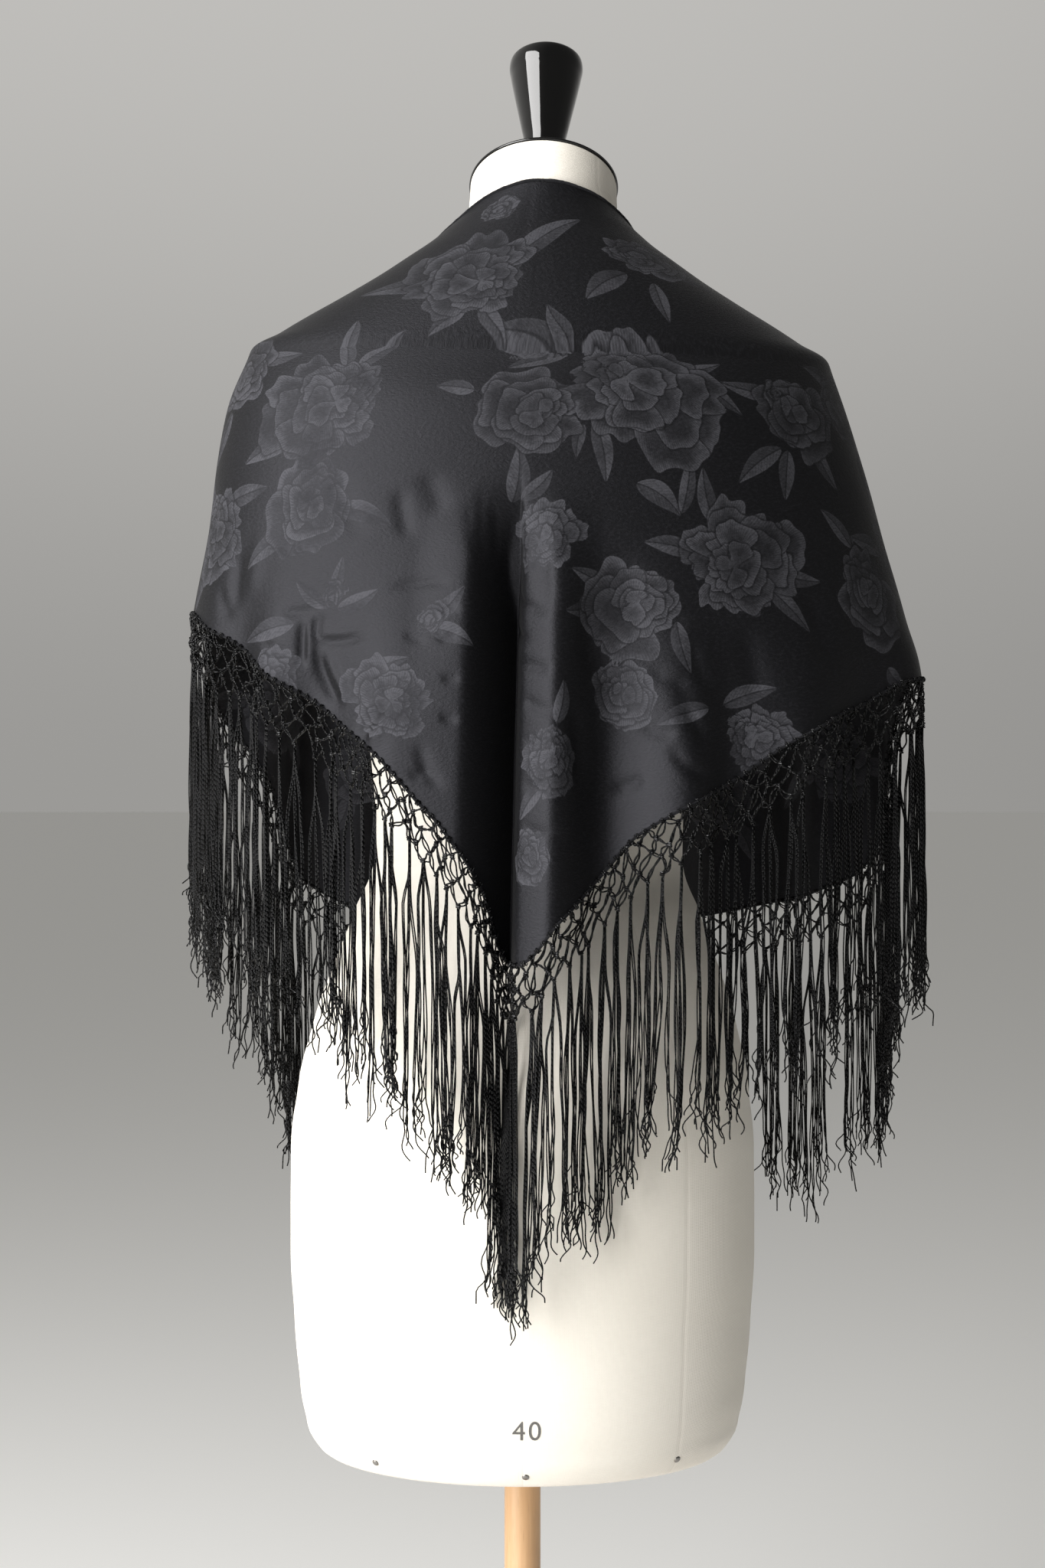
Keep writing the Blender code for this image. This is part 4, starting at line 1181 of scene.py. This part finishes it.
def black_damask():
    """Silk damask: a satin ground with a soft shine, and flowers in its duller face, a little
    paler. The fine grain is drawn coarser than the real thread, which is about 0.1 mm."""
    silk, tree, shader = new_material("silk_damask", Sheen_Weight=0.03, Sheen_Roughness=0.5)
    shader.inputs["Specular IOR Level"].default_value = 0.28
    shader.inputs["Specular Tint"].default_value = colour("#ebebf6")
    flat = add_node(tree, "ShaderNodeUVMap", uv_map="UVMap").outputs["UV"]
    grain_place = add_node(
        tree,
        "ShaderNodeMapping",
        {"Vector": flat, "Rotation": (0.0, 0.0, -0.45), "Scale": (0.55, 1.0, 1.0)},
    ).outputs["Vector"]
    grain = noise(tree, grain_place, 1000.0 / GRAIN_OF_SILK_MM, Detail=4.0, Roughness=0.7)
    clouds = noise(tree, flat, 28.0, Detail=5.0, Roughness=0.65)
    tone = None
    for number in range(len(leaf_layers)):
        field = add_node(tree, "ShaderNodeAttribute", attribute_name=f"leaves_{number}").outputs["Vector"]
        half, beside, along = add_node(tree, "ShaderNodeSeparateXYZ", (field,)).outputs
        away = maths(tree, "ABSOLUTE", beside)
        inside = maths(tree, "SUBTRACT", half, away)
        halves = ramp(tree, beside, -0.3, 0.3, 0.90, 0.46)
        midrib = ramp(tree, away, 0.25, 0.75, 0.25, 1.0)
        slanted = maths(tree, "MULTIPLY_ADD", away, -1.2, along)
        turns = maths(tree, "MULTIPLY", slanted, 2.0 * math.pi / VEIN_SPACING)
        wave = maths(tree, "SINE", turns)
        veins = ramp(tree, wave, 0.3, 1.0, 1.0, 0.70)
        leaf = maths(tree, "MULTIPLY", halves, midrib)
        leaf = maths(tree, "MULTIPLY", leaf, veins)
        tone = laid_over(tree, 0.0 if tone is None else tone, inside, leaf)
    for number in range(len(petal_layers)):
        field = add_node(tree, "ShaderNodeAttribute", attribute_name=f"petals_{number}").outputs["Vector"]
        inside, pale, lines = add_node(tree, "ShaderNodeSeparateXYZ", (field,)).outputs
        shade = ramp(tree, inside, 0.6, 8.5, 1.05, 0.30, "SMOOTHSTEP")
        wave = maths(tree, "SINE", lines)
        ribs = ramp(tree, wave, -1.0, 1.0, 0.70, 1.12)
        petal = maths(tree, "MULTIPLY", pale, shade)
        petal = maths(tree, "MULTIPLY", petal, ribs)
        tone = laid_over(tree, tone, inside, petal)
    speckle = ramp(tree, grain, 0.32, 0.68, 0.55, 1.45)
    # Painted light and shade: soft patches a few centimetres across make the flowers paler or darker, as
    # uneven light over the cloth would
    painted_light_patches = ramp(tree, clouds, 0.36, 0.62, 0.42, 1.20)
    patchily_lit_tone = maths(tree, "MULTIPLY", tone, painted_light_patches)
    woven = maths(tree, "MULTIPLY", patchily_lit_tone, speckle)
    # Painted glints: flecks of the satin ground, within the cloud patches, are painted paler, as floats
    # catching the light would be
    glints = ramp(tree, grain, 0.44, 0.72, 0.0, 1.0, "SMOOTHSTEP")
    painted_glint_share = maths(tree, "MULTIPLY", clouds, glints)
    ground = blended(tree, painted_glint_share, colour("#030304"), colour("#1c1c1f"))
    silk_tone = blended(tree, woven, ground, colour("#3b3b3f"))
    dulled = ramp(tree, tone, 0.0, 0.5, 0.44, 0.60)
    rough = maths(tree, "MULTIPLY_ADD", grain, 0.14, dulled)
    weave = maths(tree, "MULTIPLY", grain, 0.00060)
    raised = maths(tree, "MULTIPLY_ADD", tone, 0.00007, weave)
    bump = add_node(tree, "ShaderNodeBump", {"Height": raised, "Strength": 0.8, "Distance": 1.0})
    tree.links.new(silk_tone, shader.inputs["Base Color"])
    tree.links.new(rough, shader.inputs["Roughness"])
    tree.links.new(bump.outputs["Normal"], shader.inputs["Normal"])
    return silk


silk = black_damask()
shawl.data.materials.append(silk)
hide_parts("shawl_cloth")
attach(shawl, "root")


# Rolled hems
# Each edge of the silk is rolled to a thin round cord of the same cloth and slipped down by
# hand, so it is a little uneven. The two short hems carry the fringe.

HEM_RADIUS = 0.0011
THREAD_START_STEP = 0.00137
tip_column = int(np.argmin(np.abs(column_angles - TIP_ANGLE)))


def drawn_tubes(name, curves, radius, sides, material):
    """Round threads along several curves, as one mesh with its own UV map: once round across,
    and metres along, from a start of each thread's own."""
    curves = np.asarray(curves, float)
    count, stops = curves.shape[:2]
    radius = np.broadcast_to(np.asarray(radius, float), (count, stops))
    ahead = np.gradient(curves, axis=1)
    ahead /= np.maximum(np.linalg.norm(ahead, axis=-1, keepdims=True), 1e-9)
    first = np.cross(ahead, np.array([0.36, 0.81, 0.46]))
    first /= np.maximum(np.linalg.norm(first, axis=-1, keepdims=True), 1e-9)
    second = np.cross(ahead, first)
    turns = 2.0 * np.pi * np.arange(sides) / sides
    rings = (
        curves[:, :, None]
        + radius[..., None, None] * np.cos(turns)[:, None] * first[:, :, None]
        + radius[..., None, None] * np.sin(turns)[:, None] * second[:, :, None]
    )
    base = (np.arange(count) * stops * sides)[:, None, None]
    step = (np.arange(stops - 1) * sides)[None, :, None]
    side = np.arange(sides)[None, None, :]
    after = (side + 1) % sides
    ring = base + step
    following = ring + sides
    corners = np.broadcast_arrays(ring + side, ring + after, following + after, following + side)
    quads = np.stack(corners, axis=-1).reshape(-1, 4)
    starts = (base[:, 0] + np.arange(sides)[::-1]).tolist()
    ends = (base[:, 0] + (stops - 1) * sides + np.arange(sides)).tolist()
    mesh = bpy.data.meshes.new(name)
    mesh.from_pydata(rings.reshape(-1, 3).tolist(), [], quads.tolist() + starts + ends)
    made = bpy.data.objects.new(name, mesh)
    bpy.context.scene.collection.objects.link(made)
    far = length_along(curves, 1) + THREAD_START_STEP * np.arange(count)[:, None]
    low = np.broadcast_to(far[:, :-1, None], (count, stops - 1, sides))
    high = np.broadcast_to(far[:, 1:, None], low.shape)
    left = np.broadcast_to(side / sides, low.shape)
    v = np.stack([low, low, high, high], axis=-1).reshape(-1)
    u = np.stack([left, left + 1 / sides, left + 1 / sides, left], axis=-1).reshape(-1)
    flat = np.zeros((len(mesh.loops), 2), np.float32)
    flat[: len(u), 0], flat[: len(v), 1] = u, v
    mesh.uv_layers.new(name="UVMap").data.foreach_set("uv", flat.ravel())
    mesh.shade_smooth()
    mesh.materials.append(material)
    return made


uneven = np.random.default_rng(38)
roll = HEM_RADIUS * (1.0 + 0.12 * smoothed(uneven.standard_normal(CLOTH_COLUMNS + 1), 2))
rolled_hem = drawn_tubes("rolled_hem", net[-1:], roll[None], 8, silk)
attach(rolled_hem, "root")
roll = HEM_RADIUS * 1.15 * (1.0 + 0.12 * smoothed(uneven.standard_normal(CLOTH_COLUMNS + 1), 2))
neck_hem = drawn_tubes("neck_hem", net[:1], roll[None], 8, silk)
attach(neck_hem, "root")


# Knotted fringe
# Twisted black silk yarn is drawn through the hem in locks, tied in rows of open net and
# left to hang. Each lock holds nine threads, which part and curl towards their cut ends.

ROOTS = 61
NET_ROWS = (0.0088, 0.0178, 0.0270, 0.0362)
FRINGE_LENGTH = 0.2335
STRANDS = 9
STRAND_STOPS = 40
STRAND_RADIUS = 0.00056
NET_RADIUS = 0.00068
YARN_PITCH_MM = 3.6
CORD_SLACK = 0.0013
KNOT_RADIUS = 0.00125
KNOT_HEIGHT = 0.0032
KNOT_YARN_RADIUS = 0.00082
STITCH_RADIUS = 0.00185
STITCH_HEIGHT = 0.0026
STITCH_YARN_RADIUS = 0.00060
FRINGE_CLEARANCE = 0.0024


class Leg:
    """One short hem and what hangs from it, by length along the hem and drop below it."""

    def __init__(self, line, out):
        self.line = line
        self.marks = length_along(line, 0)
        flat_out = out[:, :2] / np.linalg.norm(out[:, :2], axis=1, keepdims=True)
        self.out = smoothed(flat_out, 30)
        self.roots = np.linspace(0.0042, self.marks[-1] - 0.0022, ROOTS)

    def hang(self, along, drop, sideways=0.0, outwards=0.0):
        """A place straight below the hem, moved along it or out from the figure."""
        x, y, z = (np.interp(along, self.marks, self.line[:, part]) for part in range(3))
        out_x, out_y = (np.interp(along, self.marks, self.out[:, part]) for part in range(2))
        x = x + out_x * outwards - out_y * sideways
        y = y + out_y * outwards + out_x * sideways
        z = z - drop
        lean = LEAN * np.maximum(z - LEAN_FROM_LEVEL, 0.0)
        x, y = clear_of_form(x - lean, y, z, FRINGE_CLEARANCE)
        return np.stack([x + lean, y, z], axis=-1)


def twisted_yarn():
    """Black silk yarn: soft shine, with slanting glints where its plies turn over. The turns
    are drawn longer than the real 2.5 mm."""
    yarn, tree, shader = new_material(
        "twisted_silk_yarn",
        Base_Color=colour("#0b0b0c"),
        Roughness=0.22,
        Sheen_Weight=0.01,
        Sheen_Roughness=0.4,
    )
    shader.inputs["Specular IOR Level"].default_value = 0.28
    flat = add_node(tree, "ShaderNodeUVMap", uv_map="UVMap").outputs["UV"]
    across, along, _ = add_node(tree, "ShaderNodeSeparateXYZ", (flat,)).outputs
    turns = maths(tree, "MULTIPLY_ADD", along, 1000 / YARN_PITCH_MM, across)
    phase = maths(tree, "MULTIPLY", turns, 2 * math.pi)
    plies = maths(tree, "SINE", phase)
    place = add_node(tree, "ShaderNodeTexCoord").outputs["Object"]
    worn = noise(tree, place, 420.0, Detail=2.0)
    tone = blended(tree, worn, colour("#020203"), colour("#0b0b0d"))
    bump = add_node(tree, "ShaderNodeBump", {"Height": plies, "Strength": 1.0, "Distance": 0.00042})
    tree.links.new(tone, shader.inputs["Base Color"])
    tree.links.new(bump.outputs["Normal"], shader.inputs["Normal"])
    return yarn


def lock_threads(leg, knots_along, knots_drop, chance):
    """The threads of every lock of one leg, from its lower knot to its curling ends, where their
    points stand closer. Each lock parts into three loose cords of three threads."""
    index = np.arange(ROOTS)[:, None, None]
    share = 1.0 - (1.0 - np.linspace(0.0, 1.0, STRAND_STOPS)[None, None, :]) ** 1.6
    shape = (ROOTS, STRANDS, 1)
    of_cord = np.arange(STRANDS) // 3

    def each_cord(low, high):
        return chance.uniform(low, high, (ROOTS, STRANDS // 3, 1))[:, of_cord]

    wave = 0.045 * np.sin(2.4 * index) + 0.035 * np.sin(0.9 * index)
    start = knots_drop[:, None, None] + 0.0015
    uneven_cut = each_cord(-0.06, 0.05) + 0.028 * chance.standard_normal(shape)
    end = FRINGE_LENGTH * (1.0 + wave + uneven_cut)
    turn = (np.arange(STRANDS) % 3 * 2.0 * np.pi / 3.0)[None, :, None]
    twist = each_cord(3.0, 9.0) * chance.choice([-1.0, 1.0], (ROOTS, 1, 1))
    bundle = STRAND_RADIUS * 1.20 * (1.0 + each_cord(0.2, 2.8) * share**2.2)
    sideways = bundle * np.cos(turn + twist * share)
    outwards = bundle * np.sin(turn + twist * share)
    parting = smooth_step((share - each_cord(-0.05, 0.22)) / each_cord(0.10, 0.30))
    sideways = sideways + (of_cord[None, :, None] - 1.0) * each_cord(0.0018, 0.0058) * parting
    sideways = sideways + each_cord(-0.0062, 0.0062) * (1.0 + np.exp(-index / 2.0)) * share**1.4
    outwards = outwards + each_cord(-0.0010, 0.0022) * parting
    swing = each_cord(0.0, 2.0 * np.pi)
    pace = each_cord(3.0, 9.0)
    sway = each_cord(0.0004, 0.0026)
    sideways = sideways + sway * share**0.7 * np.sin(swing + pace * share)
    outwards = outwards + 0.6 * sway * share * np.cos(swing + 0.8 * pace * share)
    own = chance.uniform(0.0, 2 * np.pi, shape)
    sideways = sideways + 0.0006 * share * np.sin(own + 19.0 * share)
    outwards = outwards + 0.0005 * share * np.cos(own + 15.0 * share)
    free = np.clip((share - chance.uniform(0.72, 0.90, shape)) / 0.16, 0.0, 1.4)
    reach = chance.uniform(0.0, 0.0100, shape)
    curl = chance.uniform(0.0006, 0.0034, shape)
    sideways = sideways + free**1.6 * reach * np.cos(own) + curl * free * np.sin(own + 8.0 * free)
    outwards = outwards + free**1.6 * reach * 0.5 * np.sin(own) + curl * free * np.cos(own + 8.0 * free)
    drop = start + (end - start) * share - free**2 * chance.uniform(0.0, 0.006, shape)
    bunched = 0.20 * knots_along[:, None, None] * np.exp(-index / 2.6) * smooth_step(share / 0.4)
    along = knots_along[:, None, None] - bunched
    return leg.hang(along, drop, sideways, outwards).reshape(-1, STRAND_STOPS, 3)


def bowed(start, end, chance, slack):
    """Curves from one row of places to another, each bowed a little in its own way."""
    share = np.linspace(0.0, 1.0, 8)[None, :, None]
    swell = np.sin(np.pi * share)
    push = chance.standard_normal((len(start), 1, 3)) * slack
    push[..., 2] -= slack * 0.6
    wiggle = chance.standard_normal((len(start), 1, 3)) * slack * 0.35
    line = start[:, None] * (1.0 - share) + end[:, None] * share
    return line + push * swell + wiggle * np.sin(2.0 * np.pi * share)


def wrapped(places, ways, radius, height, turns, stops):
    """Small coils of yarn, one round each place, about the direction given there."""
    share = np.linspace(0.0, 1.0, stops)[None, :, None]
    ways = ways / np.linalg.norm(ways, axis=1, keepdims=True)
    first = np.cross(ways, np.array([0.2, 0.93, 0.31]))
    first /= np.linalg.norm(first, axis=1, keepdims=True)
    second = np.cross(ways, first)
    turn = 2.0 * np.pi * turns * share
    fat = radius * (1.0 + 0.15 * np.sin(7.0 * share + places[:, None, :1] * 900.0))
    return (
        places[:, None]
        + fat * (np.cos(turn) * first[:, None] + np.sin(turn) * second[:, None])
        + height * (share - 0.5) * ways[:, None]
    )


yarn = twisted_yarn()
out_at_hem = facing(net)[-1]
fringe_pieces = []
for side_name, leg, seed in (
    ("left", Leg(net[-1, tip_column::-1], out_at_hem[tip_column::-1]), 11),
    ("right", Leg(net[-1, tip_column:], out_at_hem[tip_column:]), 23),
):
    chance = np.random.default_rng(seed)
    roots = leg.hang(leg.roots, np.full(ROOTS, 0.0008), 0.0, 0.0006)
    middles = (leg.roots[:-1] + leg.roots[1:]) / 2.0
    upper = roots
    cords = []
    tied = []
    tied_along = []
    for row, row_drop in enumerate(NET_ROWS):
        spots = middles if row % 2 == 0 else leg.roots
        row_along = spots + 0.0022 * chance.standard_normal(len(spots))
        row_along *= 1.0 - 0.22 * (row + 1) * np.exp(-spots / 0.024)
        row_drops = row_drop + 0.0019 * chance.standard_normal(len(spots))
        lower = leg.hang(row_along, row_drops, 0.0, 0.0006 * chance.standard_normal(len(spots)))
        for _ in range(2):
            if row % 2 == 0:
                pairs = ((upper[:-1], lower), (upper[1:], lower))
            else:
                pairs = ((upper, lower[:-1]), (upper, lower[1:]))
            cords += [bowed(start, end, chance, CORD_SLACK) for start, end in pairs]
        tied.append(lower)
        tied_along.append(spots)
        upper = lower
    threads = lock_threads(leg, row_along, row_drops, chance)
    hanging = drawn_tubes(f"fringe_locks_{side_name}", threads, STRAND_RADIUS, 3, yarn)
    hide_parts(f"fringe_{side_name}")
    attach(hanging, "root")
    netted = drawn_tubes(f"fringe_net_{side_name}", np.concatenate(cords), NET_RADIUS, 4, yarn)
    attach(netted, "root")
    down = np.array([[0.0, 0.0, -1.0]])
    tied = np.concatenate(tied)
    bulk = 1.0 + 1.5 * np.exp(-np.concatenate(tied_along) / 0.014)[:, None]
    down = np.repeat(down, len(tied), 0)
    fat = KNOT_RADIUS * bulk[..., None]
    knots = wrapped(tied, down, fat, KNOT_HEIGHT, turns=2.2, stops=16)
    tied_knots = drawn_tubes(f"fringe_knots_{side_name}", knots, KNOT_YARN_RADIUS * bulk, 4, yarn)
    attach(tied_knots, "root")
    stitch_at = np.linspace(0.001, leg.marks[-1] - 0.001, 2 * ROOTS - 1)
    stitch = leg.hang(stitch_at, np.full(len(stitch_at), 0.0002), 0.0, 0.0003)
    at_hem = np.zeros(len(stitch_at))
    way = leg.hang(stitch_at + 0.002, at_hem) - leg.hang(stitch_at - 0.002, at_hem)
    loops = wrapped(stitch, way, STITCH_RADIUS, STITCH_HEIGHT, turns=1.6, stops=13)
    stitches = drawn_tubes(f"hem_stitches_{side_name}", loops, STITCH_YARN_RADIUS, 3, yarn)
    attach(stitches, "root")
    fringe_pieces += [hanging, netted, tied_knots, stitches]
